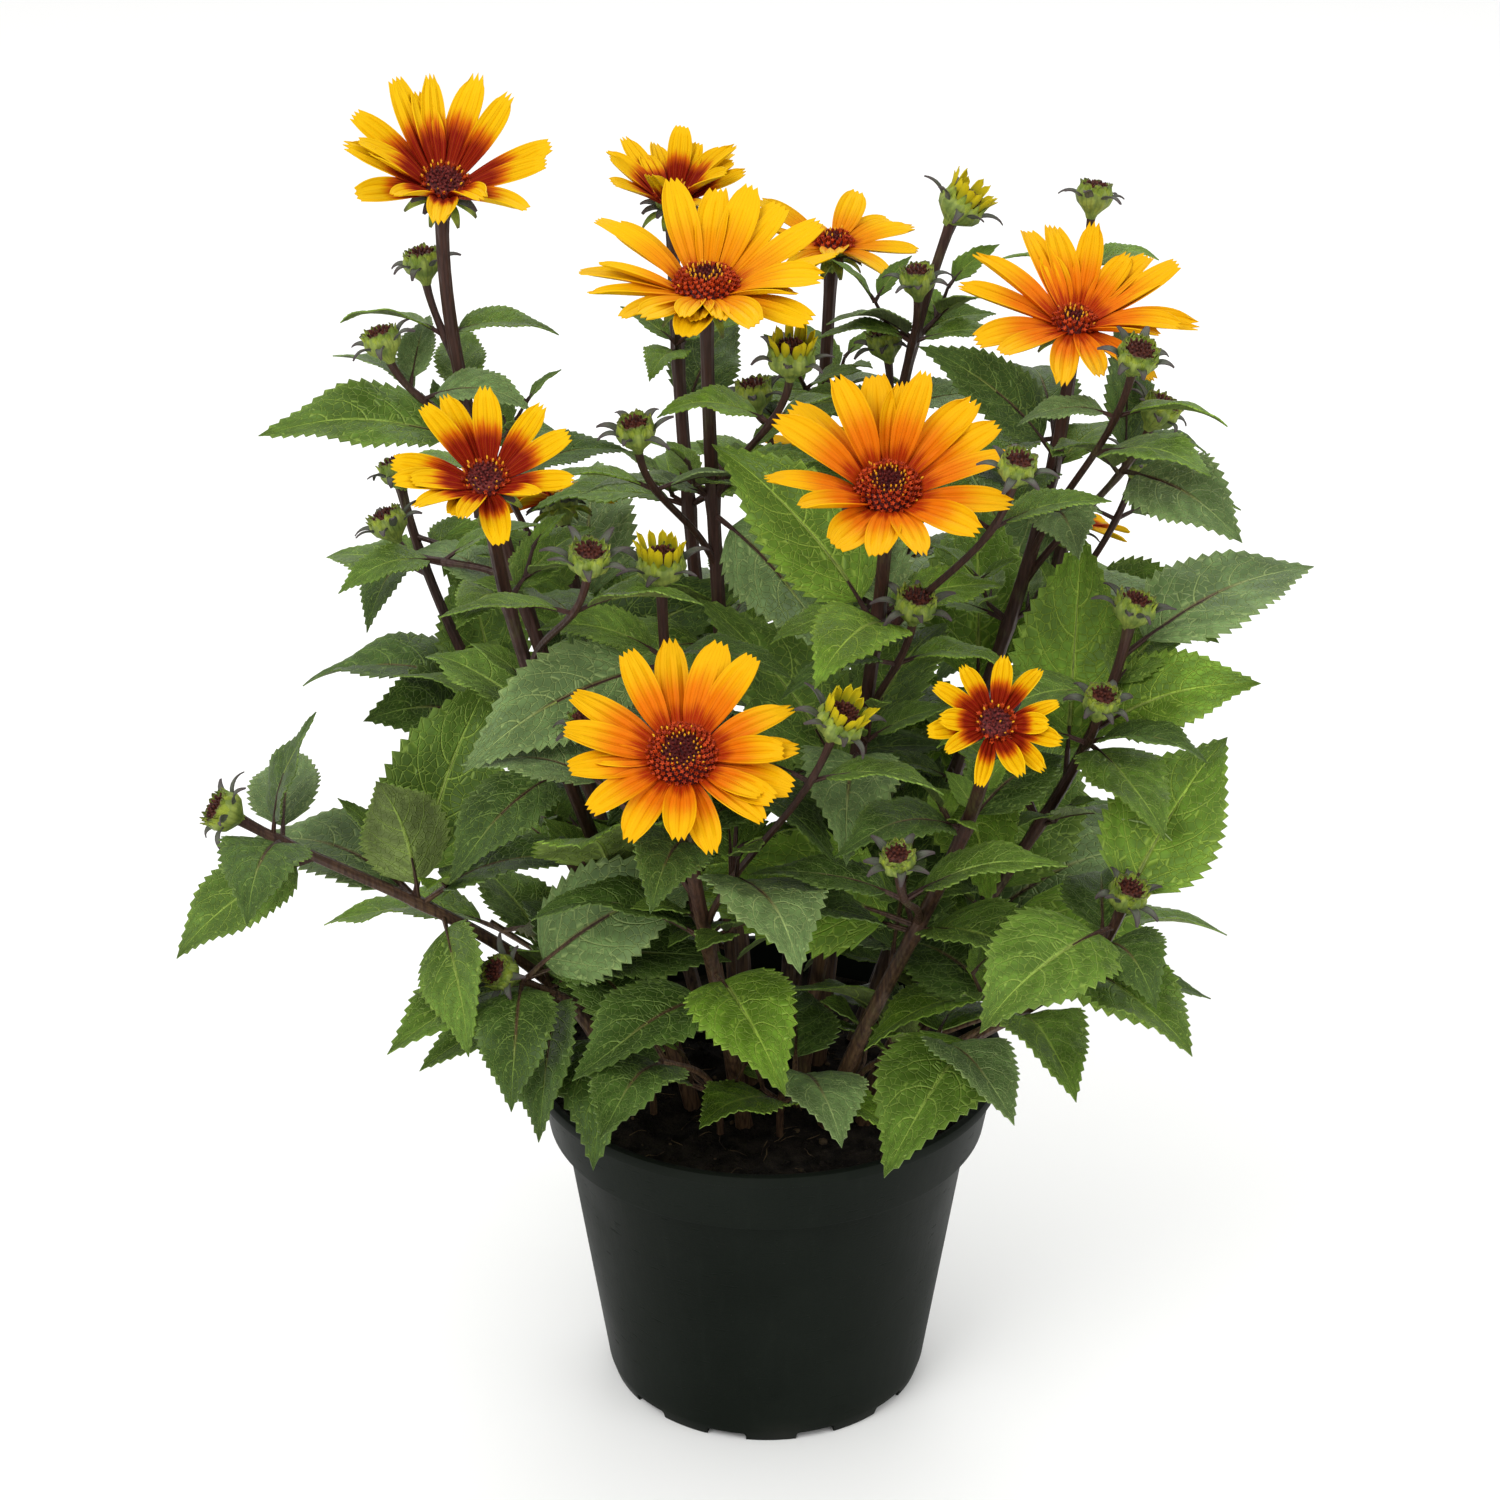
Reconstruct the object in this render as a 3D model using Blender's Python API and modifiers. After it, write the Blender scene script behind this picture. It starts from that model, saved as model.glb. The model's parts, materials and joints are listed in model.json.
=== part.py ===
"""A potted false sunflower: a clump of leafy stems with flowers and buds in a round nursery pot.

Metres, +Z up. The origin is the middle of the pot's underside, and the plant's front faces -Y.
"""

import math
import random

import bmesh
import bpy
from mathutils import Matrix, Quaternion, Vector
from mathutils.bvhtree import BVHTree

# Pot and soil
POT_HEIGHT = 0.130
LIP_RADIUS = 0.085
LIP_DEPTH = 0.004
BAND_TOP_RADIUS = 0.0822
BAND_FOOT_RADIUS = 0.0787
BAND_DEPTH = 0.025
BODY_TOP_RADIUS = 0.0735
BODY_FOOT_RADIUS = 0.0588
FOOT_RADIUS = 0.0572
FOOT_HEIGHT = 0.005
FOOT_RIM = 0.0028
PAD_RADIUS = 0.012
WALL = 0.0014
POT_STEPS = 28
FOOT_NOTCHES = 11
NOTCH_WIDTH = 0.0145
NOTCH_HEIGHT = 0.0034
FIRST_NOTCH_ANGLE = -72.0
SOIL_TOP = 0.119
SOIL_ROUGHNESS = 0.0018
SOIL_RINGS = (0.020, 0.042, 0.062)
SOIL_SIDES = 18
SEAT_GAP = 0.0003

# Stems and twigs
STEM_RADIUS = 0.0030
NECK_RADIUS = 0.0023
TWIG_RADIUS = 0.0014
FOOT_FLARE = 1.15
FOOT_SPREAD = 0.30
LOW_FOOT = 0.46
STEM_SIDES = 6
AXIS_SIDES = 4
TWIG_SIDES = 4
SAMPLES = 200
STEM_STATIONS = 4
AXIS_STATIONS = 6
TWIG_STATIONS = 4
STEM_START = 0.36
STEM_END = 0.30
SIDE_START = 0.38
SIDE_END = 0.34
SIDE_UPRIGHT = 0.6
BOW_SIZES = (0.005, 0.010, 0.016)
LOW_SWINGS = (0.0, 5.0, -5.0, 10.0, -10.0, 15.0, -15.0)
LOW_TIP_RISE = 35.0

# Leaves
LEAF_LENGTH = 0.074
LEAF_BREADTH = 0.52
LEAF_THICKNESS = 0.0011
PETIOLE_LENGTH = 0.011
PETIOLE_RADIUS = 0.0009
LEAF_STATIONS = ((0.0, 0.12), (0.30, 1.0), (0.68, 0.62))
INTERNODE = 0.073
PAIR_STEP = (0.76, 0.12, 3)
TIP_SHARE = 0.36
LEAF_SHARES = (0.62, 0.22)
LOW_LEAF_SHARES = (0.80, 0.12)
TIP_HEIGHTS = (0.26, 0.42)
LEAF_RISE = (18.0, 38.0)
LEAF_DROOP = (40.0, 70.0)
LEAF_ROLL = 16.0
LEAF_TURN = 14.0
LEAF_SPREAD = (0.88, 1.08)
LEAF_SCALES = (1.0, 0.84, 0.68)
LEAF_LIFTS = (0.0, 16.0, -18.0, 32.0, -36.0)
LEAF_SWINGS = (0.0, 16.0, -16.0, 32.0, -32.0, 48.0, -48.0)
OUTER_DROOP = 34.0
OUTER_SCALES = (1.0, 0.88)
OUTER_LIFTS = (0.0, 8.0, -8.0, 16.0, -16.0)
OUTER_SWINGS = (0.0, 8.0, -8.0, 16.0, -16.0, 24.0, -24.0)
CLEARANCE = 0.0005
FLAT_ANGLE = math.radians(1.0)

# Heads
PETAL_THICKNESS = 0.0010
PETAL_NOTCH = 0.26
PETAL_TIP = 0.24
PETAL_SPREAD = (0.92, 1.04)
CUP_HEIGHT = 0.0045
CUP_ROOT = 0.004
CUP_FOOT_SHARE = 1.1
CUP_SHARE = 0.9
DISC_TOP_SHARE = 0.55
DISC_DOME = 0.5
BUD_RADIUS = 0.0062
BUD_BRACTS = 5
BRACT_NOTCH = 0.55
BUD_ROOT = (-0.003, TWIG_RADIUS * 0.9)
BUD_PROFILE = (BUD_ROOT, (0.0030, BUD_RADIUS * 1.5), (0.0085, BUD_RADIUS * 0.9))
OPENING_PROFILE = (
    BUD_ROOT, (0.0035, BUD_RADIUS * 1.7), (0.0060, BUD_RADIUS * 1.1), (0.0165, BUD_RADIUS * 1.3),
)

# The space that the crown keeps to
CROWN_LOW = Vector((-0.202, -0.165, 0.124))
LOWEST_TIP = 0.148
CROWN_HIGH = Vector((0.184, 0.170, 0.490))
RIM_CLEARANCE = 0.004

# A stem: its head's place, kind, breadth, lean in degrees and the side it leans to (-90 is the front),
# how far its petals stand up from the disc, its disc's breadth, how high its mass of leaves begins,
# and the bare stretch under its head
STEMS = {
    "a": dict(tip=(-0.104, -0.008, 0.450), head="flower", breadth=0.076, lean=30, side=-72,
              petals=13, lift=34, disc=0.0140, entry=0.205, bare=0.095, turn=20),
    "b": dict(tip=(-0.088, -0.070, 0.374), head="flower", breadth=0.060, lean=30, side=-95,
              petals=12, lift=24, disc=0.0130, entry=0.190, bare=0.045, turn=50),
    "c": dict(tip=(-0.032, 0.046, 0.428), head="flower", breadth=0.056, lean=8, side=-90,
              petals=12, lift=34, disc=0.0120, entry=0.200, bare=0.050, turn=80),
    "d": dict(tip=(-0.020, -0.015, 0.417), head="flower", breadth=0.084, lean=9, side=-92,
              petals=16, lift=12, disc=0.0205, entry=0.200, bare=0.070, turn=10),
    "e": dict(tip=(0.022, 0.066, 0.405), head="flower", breadth=0.062, lean=6, side=-40,
              petals=11, lift=8, disc=0.0125, entry=0.195, bare=0.050, turn=30),
    "f": dict(tip=(0.098, -0.015, 0.405), head="flower", breadth=0.078, lean=13, side=-85,
              petals=14, lift=10, disc=0.0130, entry=0.205, bare=0.050, turn=70),
    "g": dict(tip=(0.037, -0.069, 0.370), head="flower", breadth=0.080, lean=26, side=-88,
              petals=15, lift=18, disc=0.0195, entry=0.190, bare=0.045, turn=15),
    "h": dict(tip=(-0.027, -0.113, 0.300), head="flower", breadth=0.078, lean=36, side=-90,
              petals=15, lift=8, disc=0.0205, entry=0.170, bare=0.036, turn=64),
    "i": dict(tip=(0.069, -0.113, 0.312), head="flower", breadth=0.044, lean=44, side=-85,
              petals=11, lift=14, disc=0.0110, entry=0.165, bare=0.050, turn=35),
    "j": dict(tip=(-0.034, -0.070, 0.345), head="opening", lean=5, side=-90, entry=0.185, bare=0.030,
              turn=0),
    "l": dict(tip=(0.061, 0.026, 0.433), head="opening", lean=36, side=0, entry=0.200, bare=0.045, turn=40),
    "m": dict(tip=(-0.176, -0.060, 0.255), head="bud", lean=55, side=195, entry=0.160, bare=0.020,
              turn=90, arch=5.0, upright=0.1),
    "n": dict(tip=(0.116, -0.060, 0.326), head="bud", lean=15, side=0, entry=0.170, bare=0.030, turn=25),
    "o": dict(tip=(0.113, -0.105, 0.247), head="bud", lean=25, side=-40, entry=0.150, bare=0.020, turn=75),
    "p": dict(tip=(-0.075, 0.104, 0.296), head="flower", breadth=0.066, lean=32, side=115,
              petals=11, lift=14, disc=0.0150, entry=0.180, bare=0.040, turn=65),
    "q": dict(tip=(0.030, 0.128, 0.300), head="flower", breadth=0.074, lean=36, side=82,
              petals=11, lift=10, disc=0.0180, entry=0.175, bare=0.040, turn=5),
    "r": dict(tip=(0.108, 0.084, 0.296), head="flower", breadth=0.056, lean=30, side=35,
              petals=11, lift=16, disc=0.0140, entry=0.180, bare=0.040, turn=47),
    "s": dict(tip=(-0.128, 0.050, 0.330), head="bud", lean=20, side=160, entry=0.175, bare=0.030, turn=55),
}

# A side shoot: the stem that it leaves, how far up that stem, and its head's place and kind
SIDE_SHOOTS = (
    dict(stem="a", fork=0.78, tip=(-0.112, 0.006, 0.420), head="bud", lean=8, side=180),
    dict(stem="a", fork=0.70, tip=(-0.124, -0.008, 0.398), head="bud", lean=20, side=180),
    dict(stem="a", fork=0.55, tip=(-0.128, 0.022, 0.322), head="bud", lean=25, side=170),
    dict(stem="b", fork=0.70, tip=(-0.056, -0.094, 0.358), head="bud", lean=15, side=-60),
    dict(stem="d", fork=0.74, tip=(0.007, -0.028, 0.399), head="opening", lean=5, side=-60),
    dict(stem="d", fork=0.66, tip=(-0.042, -0.040, 0.379), head="bud", lean=12, side=-120),
    dict(stem="e", fork=0.76, tip=(-0.004, 0.030, 0.366), head="bud", lean=10, side=180),
    dict(stem="f", fork=0.70, tip=(0.114, -0.052, 0.409), head="bud", lean=25, side=-60),
    dict(stem="f", fork=0.72, tip=(0.106, 0.020, 0.438), head="bud", lean=10, side=40),
    dict(stem="f", fork=0.66, tip=(0.126, -0.010, 0.375), head="bud", lean=30, side=0),
    dict(stem="g", fork=0.74, tip=(0.075, -0.088, 0.386), head="bud", lean=20, side=-60),
    dict(stem="g", fork=0.62, tip=(0.046, -0.070, 0.332), head="bud", lean=15, side=-60),
    dict(stem="h", fork=0.55, tip=(0.020, -0.118, 0.314), head="opening", lean=28, side=-30),
    dict(stem="h", fork=0.62, tip=(-0.056, -0.098, 0.303), head="bud", lean=15, side=180),
    dict(stem="i", fork=0.50, tip=(0.040, -0.128, 0.272), head="bud", lean=25, side=-100),
    dict(stem="l", fork=0.78, tip=(0.049, 0.010, 0.413), head="bud", lean=8, side=-120),
    dict(stem="l", fork=0.70, tip=(0.040, 0.028, 0.385), head="bud", lean=15, side=180),
    dict(stem="n", fork=0.72, tip=(0.105, -0.080, 0.303), head="bud", lean=20, side=-60),
    dict(stem="p", fork=0.70, tip=(-0.100, 0.090, 0.335), head="bud", lean=15, side=150),
    dict(stem="q", fork=0.70, tip=(0.000, 0.122, 0.328), head="bud", lean=12, side=120),
    dict(stem="q", fork=0.62, tip=(0.058, 0.120, 0.290), head="bud", lean=25, side=50),
    dict(stem="r", fork=0.70, tip=(0.128, 0.050, 0.335), head="bud", lean=18, side=0),
)

# A low shoot springs from the soil and leans out over the rim: its azimuth, reach and height
LOW_SHOOTS = {
    "low_01": dict(azimuth=-58, reach=0.098, rise=0.060),
    "low_02": dict(azimuth=-84, reach=0.092, rise=0.055),
    "low_03": dict(azimuth=-112, reach=0.095, rise=0.058),
    "low_04": dict(azimuth=-146, reach=0.105, rise=0.074, head="bud"),
    "low_05": dict(azimuth=172, reach=0.100, rise=0.055),
    "low_06": dict(azimuth=140, reach=0.104, rise=0.060),
    "low_07": dict(azimuth=105, reach=0.100, rise=0.062),
    "low_08": dict(azimuth=70, reach=0.100, rise=0.058),
    "low_09": dict(azimuth=32, reach=0.104, rise=0.064),
    "low_10": dict(azimuth=0, reach=0.106, rise=0.055),
    "low_11": dict(azimuth=-30, reach=0.104, rise=0.060),
}

# The leaves that give the crown its outline: the shoot and the share of it that they leave, the azimuth and
# rise of their tip, how far their blade is rolled about its own line, and their length
OUTER_LEAVES = (
    dict(shoot="n", at=0.93, azimuth=24, rise=8, roll=10, length=0.072),
    dict(shoot="o", at=0.44, azimuth=-117, rise=-11, roll=0, length=0.072),
    dict(shoot="o", at=0.93, azimuth=-129, rise=-6, roll=-12, length=0.066),
    dict(shoot="h", at=0.43, azimuth=-73, rise=-6, roll=9, length=0.066),
    dict(shoot="h", at=0.37, azimuth=-130, rise=-5, roll=-10, length=0.062),
    dict(shoot="f1", at=0.57, azimuth=-53, rise=9, roll=10, length=0.050),
    dict(shoot="m", at=0.82, azimuth=-147, rise=-24, roll=-14, length=0.051),
    dict(shoot="m", at=0.61, azimuth=-120, rise=66, roll=48, length=0.054),
    dict(shoot="m", at=0.91, azimuth=24, rise=66, roll=-1, length=0.041),
    dict(shoot="m", at=0.62, azimuth=51, rise=53, roll=47, length=0.074),
    dict(shoot="m", at=0.56, azimuth=-76, rise=-32, roll=47, length=0.050),
    dict(shoot="m", at=0.25, azimuth=-145, rise=-10, roll=-17, length=0.054),
    dict(shoot="b", at=0.55, azimuth=-132, rise=-22, roll=-4, length=0.053),
    dict(shoot="s", at=0.56, azimuth=-134, rise=19, roll=-48, length=0.059),
    dict(shoot="s", at=0.56, azimuth=107, rise=45, roll=-21, length=0.061),
    dict(shoot="s", at=0.90, azimuth=-18, rise=-27, roll=44, length=0.064),
    dict(shoot="s", at=0.83, azimuth=142, rise=-10, roll=-14, length=0.045),
    dict(shoot="low_05", at=0.69, azimuth=127, rise=17, roll=8, length=0.053),
    dict(shoot="low_04", at=0.78, azimuth=-91, rise=-26, roll=48, length=0.054),
    dict(shoot="low_04", at=0.93, azimuth=1, rise=31, roll=48, length=0.071),
    dict(shoot="o", at=0.78, azimuth=-64, rise=-2, roll=9, length=0.056),
    dict(shoot="o", at=0.95, azimuth=49, rise=32, roll=31, length=0.067),
    dict(shoot="n", at=0.77, azimuth=-68, rise=-12, roll=-1, length=0.050),
    dict(shoot="n", at=0.79, azimuth=-18, rise=23, roll=44, length=0.053),
    dict(shoot="n", at=0.69, azimuth=80, rise=57, roll=0, length=0.074),
    dict(shoot="f3", at=0.72, azimuth=-60, rise=-4, roll=26, length=0.057),
    dict(shoot="f3", at=0.74, azimuth=86, rise=59, roll=47, length=0.047),
    dict(shoot="a", at=0.71, azimuth=-172, rise=4, roll=-20, length=0.064),
    dict(shoot="a", at=0.43, azimuth=7, rise=26, roll=48, length=0.068),
    dict(shoot="a", at=0.76, azimuth=100, rise=18, roll=-13, length=0.034),
    dict(shoot="a2", at=0.67, azimuth=80, rise=33, roll=-1, length=0.027),
    dict(shoot="low_08", at=0.38, azimuth=51, rise=58, roll=48, length=0.074),
    dict(shoot="n", at=0.40, azimuth=58, rise=29, roll=23, length=0.074),
    dict(shoot="d", at=0.73, azimuth=-50, rise=-30, roll=48, length=0.064),
    dict(shoot="f", at=0.50, azimuth=87, rise=41, roll=0, length=0.073),
    dict(shoot="r", at=0.38, azimuth=110, rise=43, roll=-32, length=0.074),
    dict(shoot="i", at=0.50, azimuth=172, rise=2, roll=-48, length=0.074),
    dict(shoot="i", at=0.36, azimuth=75, rise=40, roll=-5, length=0.074),
    dict(shoot="j", at=0.85, azimuth=-165, rise=-21, roll=-39, length=0.066),
    dict(shoot="r1", at=0.43, azimuth=-31, rise=-12, roll=48, length=0.051),
    dict(shoot="p", at=0.77, azimuth=106, rise=25, roll=-15, length=0.071),
    dict(shoot="g", at=0.51, azimuth=148, rise=44, roll=-26, length=0.074),
    dict(shoot="f", at=0.84, azimuth=172, rise=36, roll=-32, length=0.052),
    dict(shoot="g", at=0.79, azimuth=151, rise=37, roll=-30, length=0.071),
    dict(shoot="n", at=0.44, azimuth=-28, rise=-29, roll=26, length=0.074),
    dict(shoot="r", at=0.80, azimuth=130, rise=51, roll=-36, length=0.074),
    dict(shoot="c", at=0.74, azimuth=70, rise=22, roll=26, length=0.049),
)

# Colour, roughness and metallic value
MATERIALS = {
    "Pot plastic": ((0.012, 0.016, 0.015), 0.45, 0.0),
    "Peat": ((0.012, 0.009, 0.007), 0.95, 0.0),
    "Stem": ((0.075, 0.030, 0.032), 0.55, 0.0),
    "Foliage": ((0.060, 0.150, 0.035), 0.60, 0.0),
    "Flowering foliage": ((0.200, 0.160, 0.030), 0.60, 0.0),
}


def clear_scene():
    for thing in list(bpy.data.objects):
        bpy.data.objects.remove(thing, do_unlink=True)


def make_material(name):
    colour, roughness, metallic = MATERIALS[name]
    material = bpy.data.materials.new(name)
    material.use_nodes = True
    shader = material.node_tree.nodes["Principled BSDF"]
    shader.inputs["Base Color"].default_value = (*colour, 1.0)
    shader.inputs["Roughness"].default_value = roughness
    shader.inputs["Metallic"].default_value = metallic
    material.diffuse_color = (*colour, 1.0)
    return material


def new_collection(name):
    collection = bpy.data.collections.new(name)
    bpy.context.scene.collection.children.link(collection)
    return collection


def direction(azimuth, rise):
    """The unit vector with this azimuth and rise above the level, both in degrees."""
    flat = math.cos(math.radians(rise))
    return Vector((
        flat * math.cos(math.radians(azimuth)),
        flat * math.sin(math.radians(azimuth)),
        math.sin(math.radians(rise)),
    ))


def lean_axis(lean, side):
    return direction(side, 90.0 - lean)


def loft(rings, tip=None):
    """A closed solid as (points, faces): a skin over equal rings, with flat ends or a pointed tip."""
    points = [Vector(point) for ring in rings for point in ring]
    count = len(rings[0])
    faces = [tuple(reversed(range(count)))]
    for start in range(0, (len(rings) - 1) * count, count):
        for k in range(count):
            after = (k + 1) % count
            low, low_after = start + k, start + after
            faces.append((low, low_after, low_after + count))
            faces.append((low, low_after + count, low + count))
    last = (len(rings) - 1) * count
    if tip is None:
        faces.append(tuple(range(last, last + count)))
    else:
        points.append(Vector(tip))
        faces += [(last + k, last + (k + 1) % count, len(points) - 1) for k in range(count)]
    return points, faces


def bezier(controls, amount):
    a, b, c, d = controls
    rest = 1.0 - amount
    return rest**3 * a + 3 * rest**2 * amount * b + 3 * rest * amount**2 * c + amount**3 * d


def curve_points(controls, first, last, count):
    return [bezier(controls, first + (last - first) * k / count) for k in range(count + 1)]


def tube(path, radii, sides):
    """A tapering limb along a path, its rings turned with the path and not about it."""
    tangents = [(after - before).normalized() for before, after in zip(path, path[1:])]
    tangents.append(tangents[-1])
    across = tangents[0].orthogonal().normalized()
    rings = []
    for k, (centre, radius) in enumerate(zip(path, radii)):
        if k:
            across.rotate(tangents[k - 1].rotation_difference(tangents[k]))
        other = tangents[k].cross(across)
        rings.append([
            centre + radius * (math.cos(turn) * across + math.sin(turn) * other)
            for turn in (2 * math.pi * n / sides for n in range(sides))
        ])
    return loft(rings)


def turned(base, axis, profile, sides, star=None):
    """A solid turned about an axis from (height, radius) pairs, with every other point of `star` drawn in."""
    across = axis.orthogonal().normalized()
    other = axis.cross(across)
    rings = []
    for row, (height, radius) in enumerate(profile):
        ring = []
        for n in range(sides):
            turn = 2 * math.pi * n / sides
            reach = radius * (BRACT_NOTCH if row == star and n % 2 else 1.0)
            ring.append(base + height * axis + reach * (math.cos(turn) * across + math.sin(turn) * other))
        rings.append(ring)
    return loft(rings)


def blade(path, side_vectors, breadths, thickness):
    """A thin pointed blade along a path: flat below, with a low ridge above."""
    rings = []
    for k, (centre, across, breadth) in enumerate(zip(path, side_vectors, breadths)):
        ahead = (path[min(k + 1, len(path) - 1)] - path[max(k - 1, 0)]).normalized()
        normal = across.cross(ahead).normalized()
        ridge = centre - normal * min(thickness, breadth)
        rings.append([centre - across * breadth / 2, centre + across * breadth / 2, ridge])
    return loft(rings[:-1], path[-1])


def leaf(root, azimuth, rise, droop, roll, length, grow=0.0, stalk=True):
    """A stalked leaf that leaves its stem at `rise` and bends down by `droop` on its way to its tip."""
    petiole = PETIOLE_LENGTH * length / LEAF_LENGTH
    forward = direction(azimuth, rise)
    level = direction(azimuth + 90.0, 0.0)
    start = root + forward * petiole
    path = []
    sides = []
    breadths = []
    if stalk:
        path.append(root)
        sides.append(level)
        breadths.append(2 * PETIOLE_RADIUS + grow)
    spot = start
    before = 0.0
    for along, breadth in (*LEAF_STATIONS, (1.0, 0.0)):
        angle = rise - droop * (along + before) / 2
        spot = spot + direction(azimuth, angle) * length * (along - before)
        before = along
        path.append(spot)
        turn = Quaternion(direction(azimuth, angle), math.radians(roll))
        sides.append(turn @ level)
        width = max(LEAF_BREADTH * length * breadth, 2 * PETIOLE_RADIUS)
        breadths.append(width + 2 * grow)
    if grow:
        lift = Vector((0.0, 0.0, grow))
        path = [point + lift for point in path]
    return blade(path, sides, breadths, LEAF_THICKNESS + 2 * grow)


class Crown:
    """The pieces of every node so far, and the room that they take."""

    def __init__(self):
        self.pieces = {}
        self.taken = []

    def add(self, node, shape):
        self.pieces.setdefault(node, []).append(shape)
        points = shape[0]
        low = Vector(map(min, *points))
        high = Vector(map(max, *points))
        self.taken.append((node, low, high, BVHTree.FromPolygons(*shape)))

    def clashes(self, shape, own=None):
        """True where the shape meets a piece of any node but its own."""
        points = shape[0]
        low = Vector(map(min, *points))
        high = Vector(map(max, *points))
        tree = BVHTree.FromPolygons(*shape)
        for node, other_low, other_high, other in self.taken:
            if node == own:
                continue
            if any(low[k] > other_high[k] or high[k] < other_low[k] for k in range(3)):
                continue
            if tree.overlap(other):
                return True
        return False


def outside_crown(shape):
    """True where a leaf would leave the crown's space, dip into the pot or sweep under its lip."""
    for point in shape[0]:
        if any(point[k] < CROWN_LOW[k] or point[k] > CROWN_HIGH[k] for k in range(3)):
            return True
        over_pot = point.xy.length < LIP_RADIUS + RIM_CLEARANCE
        near_lip = point.xy.length > BAND_FOOT_RADIUS - RIM_CLEARANCE
        if over_pot and near_lip and point.z < POT_HEIGHT + RIM_CLEARANCE:
            return True
        if not over_pot and point.z < LOWEST_TIP:
            return True
    return False


def stem_controls(foot, tip, axis, arch, upright):
    """A stem's Bezier: more arch makes its foot steeper, and more upright makes its tip steeper."""
    reach = (tip - foot).length
    outward = Vector((tip.x - foot.x, tip.y - foot.y, 0.0))
    start = (Vector((0.0, 0.0, arch)) + outward / reach * 0.9).normalized()
    end = (axis + Vector((0.0, 0.0, upright))).normalized()
    return foot, foot + start * reach * STEM_START, tip - end * reach * STEM_END, tip


def side_controls(fork, along, tip, axis, bow):
    """A side shoot's Bezier: it leaves its stem at a narrow angle and rises into its head."""
    reach = (tip - fork).length
    start = ((tip - fork).normalized() + along * SIDE_UPRIGHT).normalized()
    end = (axis + Vector((0.0, 0.0, SIDE_UPRIGHT))).normalized()
    return fork, fork + start * reach * SIDE_START + bow, tip - end * reach * SIDE_END + bow, tip


def bows():
    """Sideways shifts that a twig tries until it passes clear of what stands there."""
    yield Vector((0.0, 0.0, 0.0))
    for size in BOW_SIZES:
        for k in range(8):
            yield direction(45.0 * k, 0.0) * size


def flower_shape(base, axis, spec, rng):
    """A flower in one skin: a cup, a ring of blunt petals that stand up by `lift`, and a domed disc.

    Each petal is a thin wedge between the rim points of the disc, with two corners at its tip and a notch
    to its neighbour.
    """
    radius = spec["disc"] / 2
    petals = spec["petals"]
    lift = math.radians(spec["lift"])
    across = axis.orthogonal().normalized()
    other = axis.cross(across)

    def spot(turn, reach, height):
        angle = 2 * math.pi * turn / petals
        return base + reach * (math.cos(angle) * across + math.sin(angle) * other) + height * axis

    def ring(reach, height):
        return [spot(k, reach, height) for k in range(petals)]

    top = CUP_HEIGHT + PETAL_THICKNESS
    rows = (
        ring(NECK_RADIUS * CUP_FOOT_SHARE, -CUP_ROOT),
        ring(radius * CUP_SHARE, CUP_HEIGHT),
        ring(radius, top),
        ring(radius * DISC_TOP_SHARE, top + radius * DISC_DOME),
    )
    edge = []
    for k in range(petals):
        length = (spec["breadth"] / 2 - radius) * rng.uniform(*PETAL_SPREAD)
        notch = (spec["breadth"] / 2 - radius) * PETAL_NOTCH
        for turn, out in ((k - PETAL_TIP, length), (k + PETAL_TIP, length), (k + 0.5, notch)):
            height = CUP_HEIGHT + PETAL_THICKNESS / 2 + out * math.sin(lift)
            edge.append(spot(turn, radius + out * math.cos(lift), height))
    points = [point for row in (*rows, edge) for point in row]
    rim = 4 * petals
    faces = [tuple(reversed(range(petals))), tuple(range(3 * petals, 4 * petals))]
    for k in range(petals):
        after = (k + 1) % petals
        for low in (0, 2 * petals):
            faces.append((low + k, low + after, low + petals + after, low + petals + k))
        corners = [rim + 3 * k, rim + 3 * k + 1, rim + 3 * k + 2, rim + 3 * after]
        for first, second in zip(corners[:2], corners[1:3]):
            faces.append((petals + k, first, second))
            faces.append((2 * petals + k, second, first))
        faces.append((petals + k, corners[2], petals + after))
        faces.append((petals + after, corners[2], corners[3]))
        faces.append((2 * petals + k, 2 * petals + after, corners[2]))
        faces.append((2 * petals + after, corners[3], corners[2]))
    return points, faces


def flower(crown, node, base, axis, spec):
    rng = random.Random(f"petals {node}")
    crown.add(node, flower_shape(base, axis, spec, rng))


def bud(crown, node, base, axis):
    """A closed bud in a star of narrow bracts."""
    crown.add(node, turned(base, axis, BUD_PROFILE, 2 * BUD_BRACTS, star=1))


def opening_bud(crown, node, base, axis):
    """A bud whose rays stand up in a tube over its star of bracts."""
    crown.add(node, turned(base, axis, OPENING_PROFILE, 2 * BUD_BRACTS, star=1))


def add_head(crown, node, base, axis, spec):
    if spec["head"] == "flower":
        flower(crown, node, base, axis, spec)
    elif spec["head"] == "opening":
        opening_bud(crown, node, base, axis)
    else:
        bud(crown, node, base, axis)


def soil_height(soil_tree, x, y):
    hit, _, _, _ = soil_tree.ray_cast(Vector((x, y, POT_HEIGHT)), Vector((0.0, 0.0, -1.0)))
    return hit.z


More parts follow.
